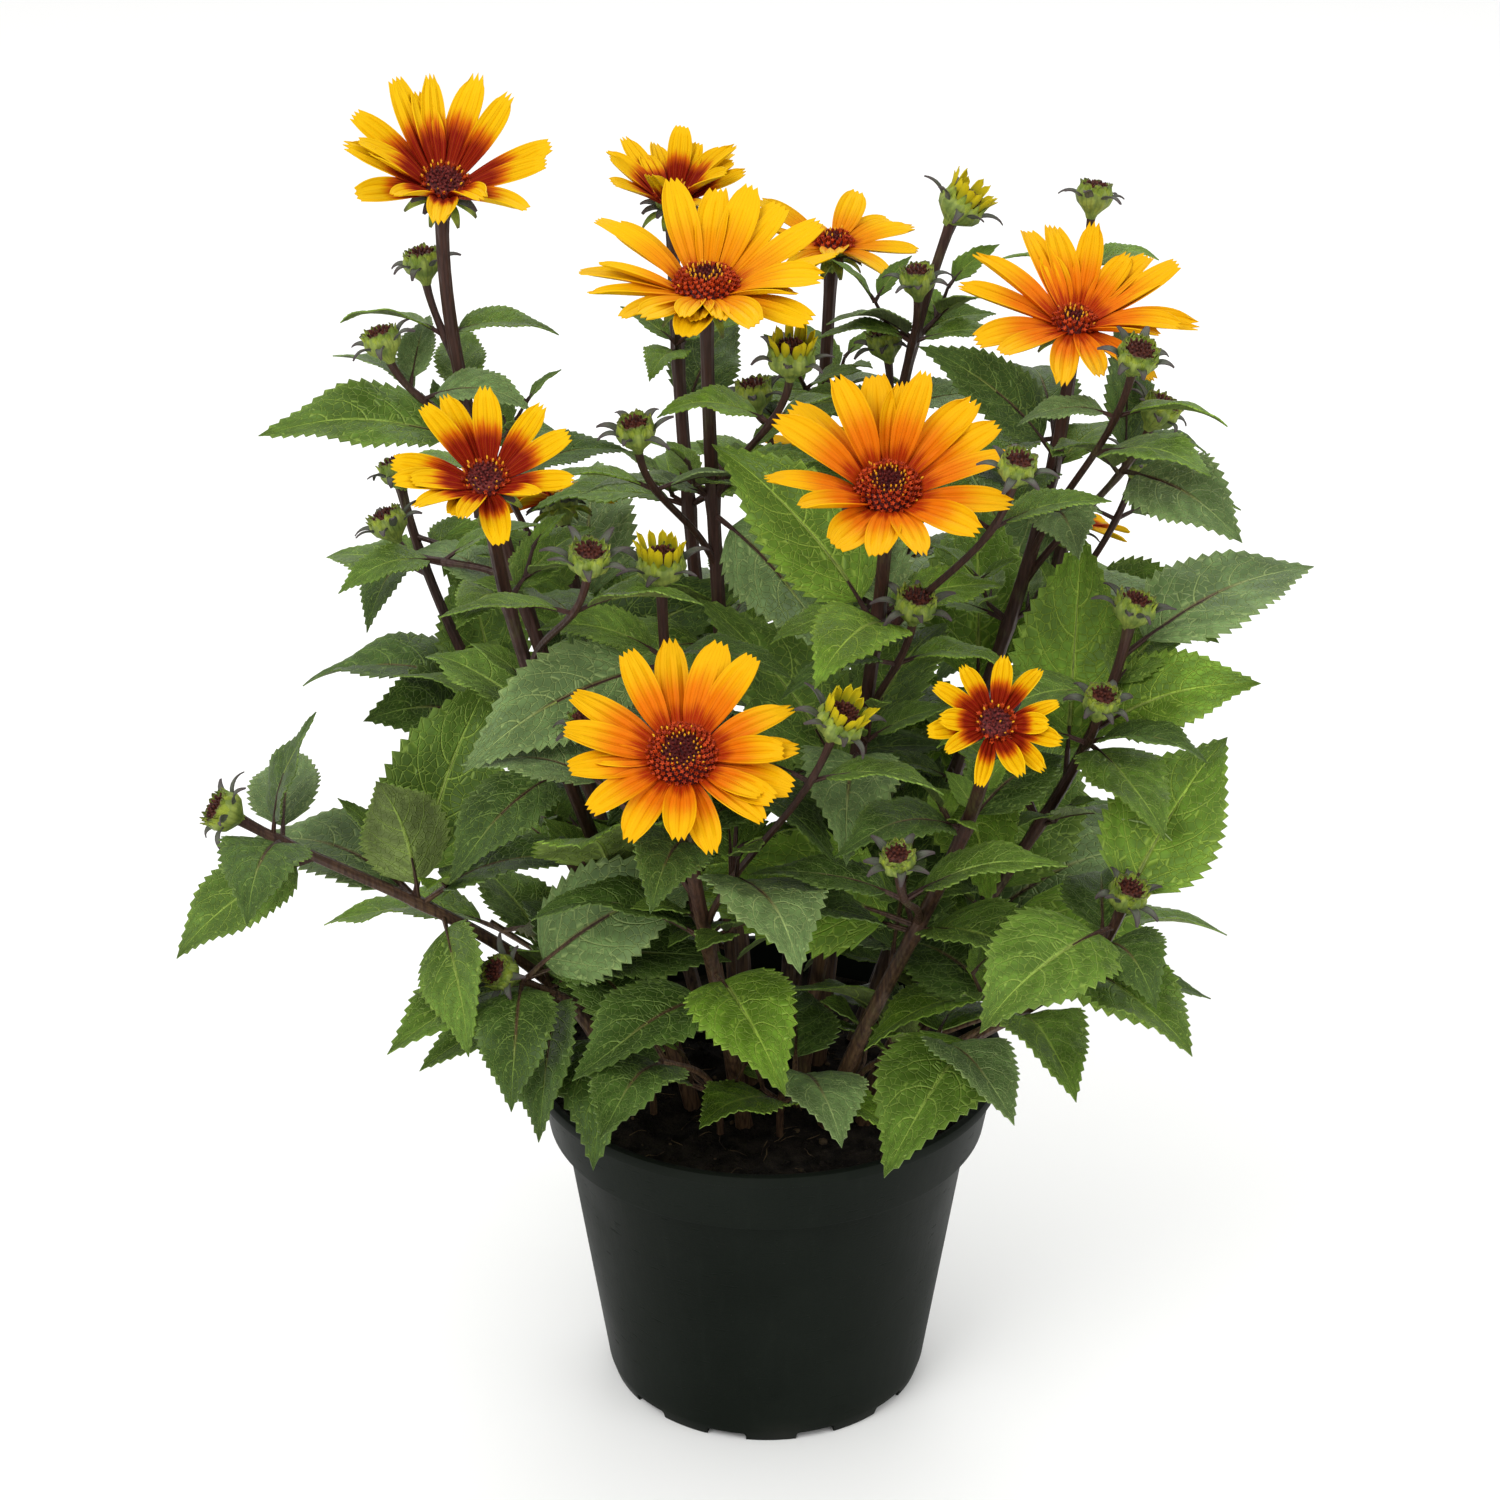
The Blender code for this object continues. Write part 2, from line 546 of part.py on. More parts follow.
def add_stem(crown, name, spec, soil_tree):
    """One stem from the soil to its mass, and the mass's own axis on to its head. Returns the axis."""
    tip = Vector(spec["tip"])
    axis = lean_axis(spec["lean"], spec["side"])
    foot_x, foot_y = tip.x * FOOT_SPREAD, tip.y * FOOT_SPREAD
    ground = max(
        soil_height(soil_tree, foot_x + dx, foot_y + dy)
        for dx in (-STEM_RADIUS, 0.0, STEM_RADIUS) for dy in (-STEM_RADIUS, 0.0, STEM_RADIUS)
    )
    foot = Vector((foot_x, foot_y, ground + SEAT_GAP))
    controls = stem_controls(foot, tip, axis, spec.get("arch", 1.0), spec.get("upright", 0.9))
    samples = curve_points(controls, 0.0, 1.0, SAMPLES)
    entry = next(k for k, point in enumerate(samples) if point.z > spec["entry"]) / SAMPLES
    step = SEAT_GAP / (tip - foot).length
    neck = NECK_RADIUS if spec["head"] == "flower" else TWIG_RADIUS * 1.2
    middle = STEM_RADIUS + (neck - STEM_RADIUS) * entry
    path = curve_points(controls, 0.0, entry - step, STEM_STATIONS)
    path[0].z = foot.z
    radii = [STEM_RADIUS + (middle - STEM_RADIUS) * k / STEM_STATIONS for k in range(STEM_STATIONS + 1)]
    radii[0] *= FOOT_FLARE
    crown.add(f"stem_{name}", flat_footed(path, radii))
    upper = curve_points(controls, entry + step, 1.0, AXIS_STATIONS)
    radii = [middle + (neck - middle) * k / AXIS_STATIONS for k in range(AXIS_STATIONS + 1)]
    crown.add(f"crown_{name}", tube(upper, radii, AXIS_SIDES))
    node = f"crown_{name}"
    return dict(node=node, key=name, controls=controls, first=entry, tip=tip, axis=axis, spec=spec)


def flat_footed(path, radii):
    """A stem whose lowest ring lies level on the soil."""
    points, faces = tube(path, radii, STEM_SIDES)
    for point in points[:STEM_SIDES]:
        point.z = path[0].z
    return points, faces


def add_side_shoot(crown, parent, number, spec):
    """A thin shoot from an axil of its stem to its own bud. It bows aside where something is in its way."""
    controls = parent["controls"]
    fork = bezier(controls, spec["fork"])
    along = (bezier(controls, spec["fork"] + 0.02) - fork).normalized()
    tip = Vector(spec["tip"])
    axis = lean_axis(spec["lean"], spec["side"])
    node = parent["node"]
    for bow in bows():
        own = side_controls(fork, along, tip, axis, bow)
        path = curve_points(own, 0.0, 1.0, TWIG_STATIONS)
        radii = [TWIG_RADIUS * (1.25 - 0.25 * k / TWIG_STATIONS) for k in range(len(path))]
        wide = [radius + CLEARANCE for radius in radii]
        if not crown.clashes(tube(path, wide, TWIG_SIDES), own=node):
            break
    else:
        print("no clear way for side shoot", node, number)
        return None
    crown.add(node, tube(path, radii, TWIG_SIDES))
    key = f"{parent['key']}{number}"
    return dict(node=node, key=key, controls=own, first=0.0, tip=tip, axis=axis, spec=spec)


def add_low_shoot(crown, name, spec, soil_tree):
    """A leafy shoot from the soil that leans out over the rim, turned a little where a stem is in the way."""
    for swing in LOW_SWINGS:
        azimuth = spec["azimuth"] + swing
        outward = direction(azimuth, 0.0)
        foot = outward * spec["reach"] * LOW_FOOT
        foot.z = soil_height(soil_tree, foot.x, foot.y) + 2 * SEAT_GAP
        tip = outward * spec["reach"]
        tip.z = foot.z + spec["rise"]
        axis = direction(azimuth, LOW_TIP_RISE)
        lift = Vector((0.0, 0.0, spec["rise"] * 0.5))
        controls = (foot, foot + lift, tip - axis * spec["reach"] * 0.3, tip)
        path = curve_points(controls, 0.0, 1.0, TWIG_STATIONS)
        radii = [TWIG_RADIUS * (1.4 - 0.5 * k / TWIG_STATIONS) for k in range(len(path))]
        if not crown.clashes(tube(path, [radius + CLEARANCE for radius in radii], TWIG_SIDES), own="soil"):
            break
    else:
        print("no clear way for", name)
    points, faces = tube(path, radii, TWIG_SIDES)
    for point in points[:TWIG_SIDES]:
        point.z = foot.z
    crown.add(name, (points, faces))
    return dict(node=name, key=name, controls=controls, first=0.0, tip=tip, axis=axis,
                spec=dict(spec, bare=0.006, turn=azimuth))


def leaf_places(shoot):
    """The nodes of a shoot from its head down: (share of the curve, number of the pair)."""
    controls = shoot["controls"]
    samples = curve_points(controls, 0.0, 1.0, SAMPLES)
    lengths = [0.0]
    for before, after in zip(samples, samples[1:]):
        lengths.append(lengths[-1] + (after - before).length)
    start = shoot["first"] * lengths[-1] + 0.006
    at = lengths[-1] - shoot["spec"].get("bare", 0.022)
    places = []
    pair = 0
    while at > start:
        share = next(k for k, length in enumerate(lengths) if length >= at) / SAMPLES
        places.append((share, pair))
        first, more, last = PAIR_STEP
        at -= INTERNODE * (first + more * min(pair, last))
        pair += 1
    return places


def leaf_size(height, pair, low):
    """Leaves grow shorter towards the top of the plant and towards the tip of each shoot."""
    begin, end = TIP_HEIGHTS
    share = min(max((height - begin) / (end - begin), 0.0), 1.0)
    size = LEAF_LENGTH * (1.0 - TIP_SHARE * share)
    youngest, gain = LOW_LEAF_SHARES if low else LEAF_SHARES
    return size * min(youngest + gain * pair, 1.0)


def add_leaf(crown, shoot, share, pair, hand):
    """Tries the leaf at its own angle, then turned, lifted or smaller. It is left out if nothing is clear."""
    rng = random.Random(f"{shoot['key']} {pair} {hand}")
    root = bezier(shoot["controls"], share)
    turn = shoot["spec"].get("turn", 0.0) + 90.0 * pair + 180.0 * hand
    turn += rng.uniform(-LEAF_TURN, LEAF_TURN)
    size = leaf_size(root.z, pair, shoot["node"].startswith("low")) * rng.uniform(*LEAF_SPREAD)
    rise = rng.uniform(*LEAF_RISE)
    droop = rng.uniform(*LEAF_DROOP)
    roll = rng.uniform(-LEAF_ROLL, LEAF_ROLL)
    for scale in LEAF_SCALES:
        for lift in LEAF_LIFTS:
            for swing in LEAF_SWINGS:
                place = (root, turn + swing, rise + lift, droop, roll, size * scale)
                if try_leaf(crown, shoot["node"], place):
                    return True
    return False


def add_outer_leaf(crown, shoot, spec):
    """A leaf that gives the crown its outline: `rise` is the rise of the straight line to its tip."""
    root = bezier(shoot["controls"], spec["at"])
    for scale in OUTER_SCALES:
        for lift in OUTER_LIFTS:
            for swing in OUTER_SWINGS:
                rise = spec["rise"] + OUTER_DROOP / 2 + lift
                turn = spec["azimuth"] + swing
                place = (root, turn, rise, OUTER_DROOP, spec["roll"], spec["length"] * scale)
                if try_leaf(crown, shoot["node"], place):
                    return True
    return False


def try_leaf(crown, node, place):
    """Adds the leaf if it and its blade's wider shape meet nothing. Its stalk may meet its own node."""
    true_leaf = leaf(*place)
    wide = leaf(*place, grow=CLEARANCE)
    if outside_crown(wide) or crown.clashes(wide, own=node) or crown.clashes(true_leaf, own=node):
        return False
    if crown.clashes(leaf(*place, grow=CLEARANCE, stalk=False)) or crown.clashes(leaf(*place, stalk=False)):
        return False
    crown.add(node, true_leaf)
    return True


def grow_plant(soil_tree, pot_shapes):
    """Every stem, shoot and head first, and then the leaves, pair by pair, in the room that is left."""
    crown = Crown()
    for name, shape in pot_shapes.items():
        crown.add(name, shape)
    axes = {name: add_stem(crown, name, spec, soil_tree) for name, spec in STEMS.items()}
    shoots = list(axes.values())
    counts = dict.fromkeys(STEMS, 0)
    for spec in SIDE_SHOOTS:
        counts[spec["stem"]] += 1
        shoot = add_side_shoot(crown, axes[spec["stem"]], counts[spec["stem"]], spec)
        if shoot:
            shoots.append(shoot)
    shoots += [add_low_shoot(crown, name, spec, soil_tree) for name, spec in LOW_SHOOTS.items()]
    for shoot in shoots:
        if "head" in shoot["spec"]:
            add_head(crown, shoot["node"], shoot["tip"], shoot["axis"], shoot["spec"])
    named = {shoot["key"]: shoot for shoot in shoots}
    for spec in OUTER_LEAVES:
        if not add_outer_leaf(crown, named[spec["shoot"]], spec):
            print("no room for outer leaf", spec)
    places = [(pair, shoot, share) for shoot in shoots for share, pair in leaf_places(shoot)]
    places.sort(key=lambda place: place[0])
    placed = 0
    for pair, shoot, share in places:
        for hand in (0, 1):
            placed += add_leaf(crown, shoot, share, pair, hand)
    print("leaves placed", placed, "of", 2 * len(places))
    return crown


def object_from_mesh(name, mesh, collection, material):
    thing = bpy.data.objects.new(name, mesh)
    collection.objects.link(thing)
    mesh.materials.clear()
    mesh.materials.append(material)
    return thing


def mesh_from_shape(name, shape):
    points, faces = shape
    mesh = bpy.data.meshes.new(name)
    mesh.from_pydata(points, [], faces)
    bm = bmesh.new()
    bm.from_mesh(mesh)
    bmesh.ops.recalc_face_normals(bm, faces=bm.faces)
    bm.to_mesh(mesh)
    bm.free()
    return mesh


def evaluated_mesh(thing):
    graph = bpy.context.evaluated_depsgraph_get()
    return bpy.data.meshes.new_from_object(thing.evaluated_get(graph))


def drop_scraps(mesh):
    """Keeps the largest body: loose scraps go, and so does the skin of a sealed hollow, which fills it."""
    bm = bmesh.new()
    bm.from_mesh(mesh)
    bmesh.ops.triangulate(bm, faces=bm.faces)
    left = set(bm.faces)
    bodies = []
    while left:
        body = {left.pop()}
        waiting = list(body)
        while waiting:
            face = waiting.pop()
            for edge in face.edges:
                for other in edge.link_faces:
                    if other in left:
                        left.remove(other)
                        body.add(other)
                        waiting.append(other)
        bodies.append(body)
    largest = max(bodies, key=body_volume)
    extra = [face for body in bodies if body is not largest for face in body]
    bmesh.ops.delete(bm, geom=extra, context="FACES")
    bmesh.ops.dissolve_limit(bm, angle_limit=FLAT_ANGLE, verts=bm.verts, edges=bm.edges)
    bmesh.ops.triangulate(bm, faces=bm.faces)
    loose = [vertex for vertex in bm.verts if not vertex.link_faces]
    bmesh.ops.delete(bm, geom=loose, context="VERTS")
    bm.to_mesh(mesh)
    bm.free()
    return len(bodies) - 1


def body_volume(faces):
    return sum(
        face.verts[0].co.dot(face.verts[1].co.cross(face.verts[2].co)) / 6 for face in faces
    )


def fuse(name, shapes, collection, material, solver):
    """One solid from overlapping pieces, by one union on a collection of them."""
    first = bpy.data.objects.new(name, mesh_from_shape(name, shapes[0]))
    collection.objects.link(first)
    if len(shapes) > 1:
        helpers = new_collection(f"{name} pieces")
        for number, shape in enumerate(shapes[1:]):
            piece_name = f"{name} piece {number}"
            helpers.objects.link(bpy.data.objects.new(piece_name, mesh_from_shape(piece_name, shape)))
        union = first.modifiers.new("Union", "BOOLEAN")
        union.operation = "UNION"
        union.operand_type = "COLLECTION"
        union.collection = helpers
        union.solver = solver
        mesh = evaluated_mesh(first)
        for piece in list(helpers.objects):
            bpy.data.objects.remove(piece, do_unlink=True)
        bpy.data.collections.remove(helpers)
    else:
        mesh = first.data.copy()
    bpy.data.objects.remove(first, do_unlink=True)
    dropped = drop_scraps(mesh)
    if dropped:
        print(name, "lost", dropped, "scraps")
    return object_from_mesh(name, mesh, collection, material)


def pot_profile():
    """The pot's section as (radius, height), from the middle of its floor up the inside and down outside."""
    band_foot = POT_HEIGHT - BAND_DEPTH
    floor = FOOT_HEIGHT + WALL
    return (
        (0.0, floor),
        (BODY_FOOT_RADIUS - WALL, floor),
        (BODY_TOP_RADIUS - WALL, band_foot),
        (BAND_FOOT_RADIUS - WALL, band_foot + WALL),
        (BAND_TOP_RADIUS - WALL, POT_HEIGHT - LIP_DEPTH),
        (LIP_RADIUS - 2 * WALL, POT_HEIGHT),
        (LIP_RADIUS - WALL / 2, POT_HEIGHT),
        (LIP_RADIUS, POT_HEIGHT - WALL / 2),
        (LIP_RADIUS, POT_HEIGHT - LIP_DEPTH),
        (BAND_TOP_RADIUS, POT_HEIGHT - LIP_DEPTH - WALL),
        (BAND_FOOT_RADIUS, band_foot),
        (BODY_TOP_RADIUS, band_foot - WALL / 2),
        (BODY_FOOT_RADIUS, FOOT_HEIGHT),
        (FOOT_RADIUS, 0.0),
        (FOOT_RADIUS - FOOT_RIM, 0.0),
        (FOOT_RADIUS - FOOT_RIM, FOOT_HEIGHT),
        (PAD_RADIUS, FOOT_HEIGHT),
        (PAD_RADIUS, 0.0),
        (0.0, 0.0),
    )


def build_pot(collection, cutters, material):
    """The pot is a turned shell whose foot ring is notched for drainage."""
    profile = pot_profile()
    mesh = bpy.data.meshes.new("pot")
    mesh.from_pydata([(x, 0.0, z) for x, z in profile], [(k, k + 1) for k in range(len(profile) - 1)], [])
    pot = object_from_mesh("pot", mesh, collection, material)
    screw = pot.modifiers.new("Turn", "SCREW")
    screw.axis = "Z"
    screw.steps = POT_STEPS
    screw.render_steps = POT_STEPS
    screw.use_merge_vertices = True
    screw.merge_threshold = 1e-5
    for k in range(FOOT_NOTCHES):
        angle = math.radians(FIRST_NOTCH_ANGLE + 360.0 / FOOT_NOTCHES * k)
        place = Matrix.Rotation(angle, 4, "Z") @ Matrix.Translation((FOOT_RADIUS, 0.0, 0.0))
        bm = bmesh.new()
        size = Matrix.Diagonal((4 * FOOT_RIM, NOTCH_WIDTH, 2 * NOTCH_HEIGHT, 1.0))
        bmesh.ops.create_cube(bm, size=1.0, matrix=place @ size)
        notch_mesh = bpy.data.meshes.new("notch")
        bm.to_mesh(notch_mesh)
        bm.free()
        notch = bpy.data.objects.new(f"notch {k + 1}", notch_mesh)
        notch.display_type = "WIRE"
        notch.hide_render = True
        cutters.objects.link(notch)
    cut = pot.modifiers.new("Notches", "BOOLEAN")
    cut.operation = "DIFFERENCE"
    cut.operand_type = "COLLECTION"
    cut.collection = cutters
    cut.solver = "EXACT"
    return pot


def build_soil(collection, material):
    """The root ball fills the pot to just under its lip. Its top is uneven."""
    rng = random.Random("soil")
    band_foot = POT_HEIGHT - BAND_DEPTH
    slope = (BAND_TOP_RADIUS - BAND_FOOT_RADIUS) / (BAND_DEPTH - LIP_DEPTH)
    edge = BAND_FOOT_RADIUS - WALL + slope * (SOIL_TOP - band_foot) - 2 * SEAT_GAP
    side = (
        (BODY_FOOT_RADIUS - WALL - 2 * SEAT_GAP, FOOT_HEIGHT + WALL + SEAT_GAP),
        (BODY_TOP_RADIUS - WALL - 2 * SEAT_GAP, band_foot + SEAT_GAP),
        (BAND_FOOT_RADIUS - WALL - 3 * SEAT_GAP, band_foot + 2 * WALL),
        (edge, SOIL_TOP),
    )
    rings = []
    for radius, height in (*side, *((radius, SOIL_TOP) for radius in reversed(SOIL_RINGS))):
        rough = SOIL_ROUGHNESS if radius in SOIL_RINGS else 0.0
        ring = []
        for n in range(SOIL_SIDES):
            turn = 2 * math.pi * n / SOIL_SIDES
            spread = radius / math.cos(math.pi / SOIL_SIDES) * 0.985
            rise = height + rng.uniform(-rough, rough)
            ring.append((spread * math.cos(turn), spread * math.sin(turn), rise))
        rings.append(ring)
    shape = loft(rings, (0.0, 0.0, SOIL_TOP))
    mesh = mesh_from_shape("soil", shape)
    object_from_mesh("soil", mesh, collection, material)
    return shape


def main():
    clear_scene()
    plant = new_collection("Potted false sunflower")
    cutters = new_collection("Cutters")
    cutters.hide_render = True
    materials = {name: make_material(name) for name in MATERIALS}
    pot = build_pot(plant, cutters, materials["Pot plastic"])
    soil_shape = build_soil(plant, materials["Peat"])
    soil_tree = BVHTree.FromPolygons(*soil_shape)
    pot_mesh = evaluated_mesh(pot)
    pot_shape = ([vertex.co.copy() for vertex in pot_mesh.vertices],
                 [tuple(face.vertices) for face in pot_mesh.polygons])
    bpy.data.meshes.remove(pot_mesh)
    crown = grow_plant(soil_tree, dict(pot=pot_shape, soil=soil_shape))
    for name, shapes in crown.pieces.items():
        if name in ("pot", "soil"):
            continue
        if name.startswith("stem"):
            finish = "Stem"
        elif name.startswith("crown"):
            finish = "Flowering foliage"
        else:
            finish = "Foliage"
        fuse(name, shapes, plant, materials[finish], "MANIFOLD")


main()
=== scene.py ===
import json
import math
import random
import time

import bmesh
import bpy
import numpy as np
from mathutils import Matrix, Quaternion, Vector, noise
from mathutils.bvhtree import BVHTree

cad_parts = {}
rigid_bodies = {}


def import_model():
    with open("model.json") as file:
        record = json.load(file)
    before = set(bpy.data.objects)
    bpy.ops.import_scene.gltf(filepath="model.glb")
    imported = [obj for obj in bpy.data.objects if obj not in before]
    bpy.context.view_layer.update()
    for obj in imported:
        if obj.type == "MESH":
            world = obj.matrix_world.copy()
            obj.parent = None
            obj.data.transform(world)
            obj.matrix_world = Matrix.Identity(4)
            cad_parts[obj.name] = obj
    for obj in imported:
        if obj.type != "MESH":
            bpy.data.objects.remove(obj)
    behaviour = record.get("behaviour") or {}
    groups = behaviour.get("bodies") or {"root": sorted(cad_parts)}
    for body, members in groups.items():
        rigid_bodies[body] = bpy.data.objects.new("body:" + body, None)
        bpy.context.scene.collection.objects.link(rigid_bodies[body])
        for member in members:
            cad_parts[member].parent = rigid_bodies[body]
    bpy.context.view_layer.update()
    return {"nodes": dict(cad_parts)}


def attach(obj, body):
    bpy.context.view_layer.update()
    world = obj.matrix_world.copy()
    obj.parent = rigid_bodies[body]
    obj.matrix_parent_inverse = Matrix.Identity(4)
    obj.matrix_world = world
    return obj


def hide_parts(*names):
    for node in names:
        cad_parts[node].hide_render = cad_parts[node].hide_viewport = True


began = time.time()
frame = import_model()
cadNodes = frame["nodes"]
fullTurn = 2 * math.pi
down = Vector((0.0, 0.0, -1.0))


class Settings(dict):
    # a dictionary whose values are also read as attributes
    __getattr__ = dict.__getitem__


def report(text):
    print(f"{time.time() - began:6.1f} s  {text}")


def newMesh(name, bm):
    mesh = bpy.data.meshes.new(name)
    bm.to_mesh(mesh)
    bm.free()
    return mesh


def newObject(name, data):
    made = bpy.data.objects.new(name, data)
    bpy.context.scene.collection.objects.link(made)
    return made


def applyModifiers(piece):
    graph = bpy.context.evaluated_depsgraph_get()
    solid = bpy.data.meshes.new_from_object(piece.evaluated_get(graph))
    piece.modifiers.clear()
    before, name = piece.data, piece.data.name
    piece.data = solid
    bpy.data.meshes.remove(before)
    solid.name = name


# Camera, floor and light
camera = Settings(place=(-0.006, -1.099, 0.786), pitch=64.0, lens=85.0, sensor=36.0)
studio = Settings(
    floorSide=16.0, floorColour=(0.88, 0.88, 0.87), floorRoughness=0.75,
    worldColour=(1.0, 1.0, 1.0), worldStrength=1.0,
    lights=(  # place, aim, width, watts
        ((-0.9, -1.3, 1.7), (0.0, 0.0, 0.25), 1.1, 22.0),
        ((1.3, -0.9, 1.1), (0.0, 0.0, 0.25), 1.0, 6.0),
        ((0.2, 1.2, 1.5), (0.0, 0.0, 0.30), 1.2, 8.0),
    ),
)


def setCamera():
    lens = bpy.data.cameras.new("camera")
    lens.lens, lens.sensor_width = camera.lens, camera.sensor
    eye = newObject("camera", lens)
    eye.location = camera.place
    eye.rotation_euler = (math.radians(camera.pitch), 0.0, 0.0)
    bpy.context.scene.camera = eye


def setStudio():
    world = bpy.data.worlds.new("studio")
    world.use_nodes = True
    sky = world.node_tree.nodes["Background"]
    sky.inputs["Color"].default_value = (*studio.worldColour, 1.0)
    sky.inputs["Strength"].default_value = studio.worldStrength
    bpy.context.scene.world = world
    for number, (place, aim, width, watts) in enumerate(studio.lights):
        lamp = bpy.data.lights.new(f"softbox{number}", "AREA")
        lamp.shape, lamp.size, lamp.energy = "DISK", width, watts
        box = newObject(f"softbox{number}", lamp)
        box.location = place
        box.rotation_euler = (Vector(place) - Vector(aim)).to_track_quat("Z", "Y").to_euler()
    bm = bmesh.new()
    bmesh.ops.create_grid(bm, x_segments=1, y_segments=1, size=studio.floorSide / 2)
    floor = newObject("floor", newMesh("floor", bm))
    floor.data.materials.append(newPaint("floorPaint", studio.floorColour, studio.floorRoughness).material)


# Shader maths
class Wire:
    # one socket of a node tree: sums on it add Math nodes, and node() adds any other kind
    def __init__(self, tree, socket=None):
        self.tree, self.socket = tree, socket

    def node(self, kind, settings=None, sockets=None, output=0):
        made = self.tree.nodes.new(kind)
        for key, value in (settings or {}).items():
            setattr(made, key, value)
        for key, value in (sockets or {}).items():
            if isinstance(value, Wire):
                self.tree.links.new(value.socket, made.inputs[key])
            else:
                made.inputs[key].default_value = value
        return Wire(self.tree, made.outputs[output])

    def maths(self, operation, other=0.0):
        return self.node("ShaderNodeMath", {"operation": operation}, {0: self, 1: other})

    def __add__(self, other):
        return self.maths("ADD", other)

    def __sub__(self, other):
        return self.maths("SUBTRACT", other)

    def __mul__(self, other):
        return self.maths("MULTIPLY", other)

    def __pow__(self, other):
        return self.maths("POWER", other)

    def __abs__(self):
        return self.maths("ABSOLUTE")

    def offMiddle(self):  # how far each repeat is from its middle
        return abs(self.maths("FRACT") - 0.5)

    def axis(self, number):
        return self.node("ShaderNodeSeparateXYZ", None, {0: self}, number)

    def ease(self, low, high, start=0.0, end=1.0):  # a soft step from start to end
        ends = {0: self, 1: low, 2: high, 3: start, 4: end}
        return self.node("ShaderNodeMapRange", {"interpolation_type": "SMOOTHSTEP"}, ends)

    def fall(self, low, high):
        return self.ease(low, high, 1.0, 0.0)

    def blend(self, first, second):  # mixes two colours by this value
        return self.node("ShaderNodeMix", {"data_type": "RGBA"}, {0: self, 6: first, 7: second}, 2)

    def stretched(self, scale):
        return self.node("ShaderNodeMapping", None, {"Vector": self, "Scale": scale})

    def grain(self, scale, detail=3.0, stretch=(1.0, 1.0, 1.0)):
        sockets = {"Vector": self.stretched(stretch), "Scale": scale, "Detail": detail}
        return self.node("ShaderNodeTexNoise", None, sockets)


def rgb(colour, gain=1.0):
    return (*(min(channel * gain, 1.0) for channel in colour), 1.0)


def newPaint(name, colour, roughness, gloss=0.5):
    # a material, with the places its shader reads: the object's own, and across and along its own map
    material = bpy.data.materials.new(name)
    material.use_nodes = True
    material.diffuse_color = rgb(colour)
    shader = material.node_tree.nodes["Principled BSDF"]
    for key, value in (("Base Color", rgb(colour)), ("Roughness", roughness), ("Specular IOR Level", gloss)):
        shader.inputs[key].default_value = value
    wire = Wire(material.node_tree)
    ownMap = wire.node("ShaderNodeUVMap", {"uv_map": "grain"})
    across = ownMap.axis(0)
    return Settings(
        material=material, shader=shader, ownMap=ownMap, across=across, along=ownMap.axis(1),
        side=abs(across * 2.0 - 1.0), place=wire.node("ShaderNodeTexCoord", None, None, 3),
    )


def finishPaint(paint, colour, layers, roughness, height, depth, strength):
    # each layer is how much of it shows and its colour
    for share, tint in layers:
        colour = share.blend(colour, tint)
    bump = height.node("ShaderNodeBump", None, {"Strength": strength, "Distance": depth, "Height": height})
    for wire, key in ((colour, "Base Color"), (roughness, "Roughness"), (bump, "Normal")):
        if wire:
            wire.tree.links.new(wire.socket, paint.shader.inputs[key])
    return paint.material


# Leaf finish
leafPaint = Settings(
    tints={  # face colour, back colour and vein colour
        "deep": ((0.048, 0.094, 0.013), (0.118, 0.158, 0.050), (0.196, 0.294, 0.058)),
        "mid": ((0.091, 0.170, 0.018), (0.150, 0.200, 0.056), (0.285, 0.412, 0.068)),
        "fresh": ((0.116, 0.220, 0.016), (0.172, 0.238, 0.052), (0.315, 0.455, 0.060)),
        "grey": ((0.122, 0.200, 0.060), (0.182, 0.226, 0.098), (0.325, 0.425, 0.146)),
        "bronze": ((0.100, 0.112, 0.024), (0.138, 0.134, 0.055), (0.200, 0.182, 0.065)),
    },
    pairs=5.0, lean=1.75, arc=1.6, veinWidth=0.050, cells=(13.0, 25.0, 1.0), roughness=0.50, backRoughness=0.70,
    gloss=0.22, midrib=(0.130, 0.075, 0.035), brownMidribs=("deep", "grey", "bronze"),
)


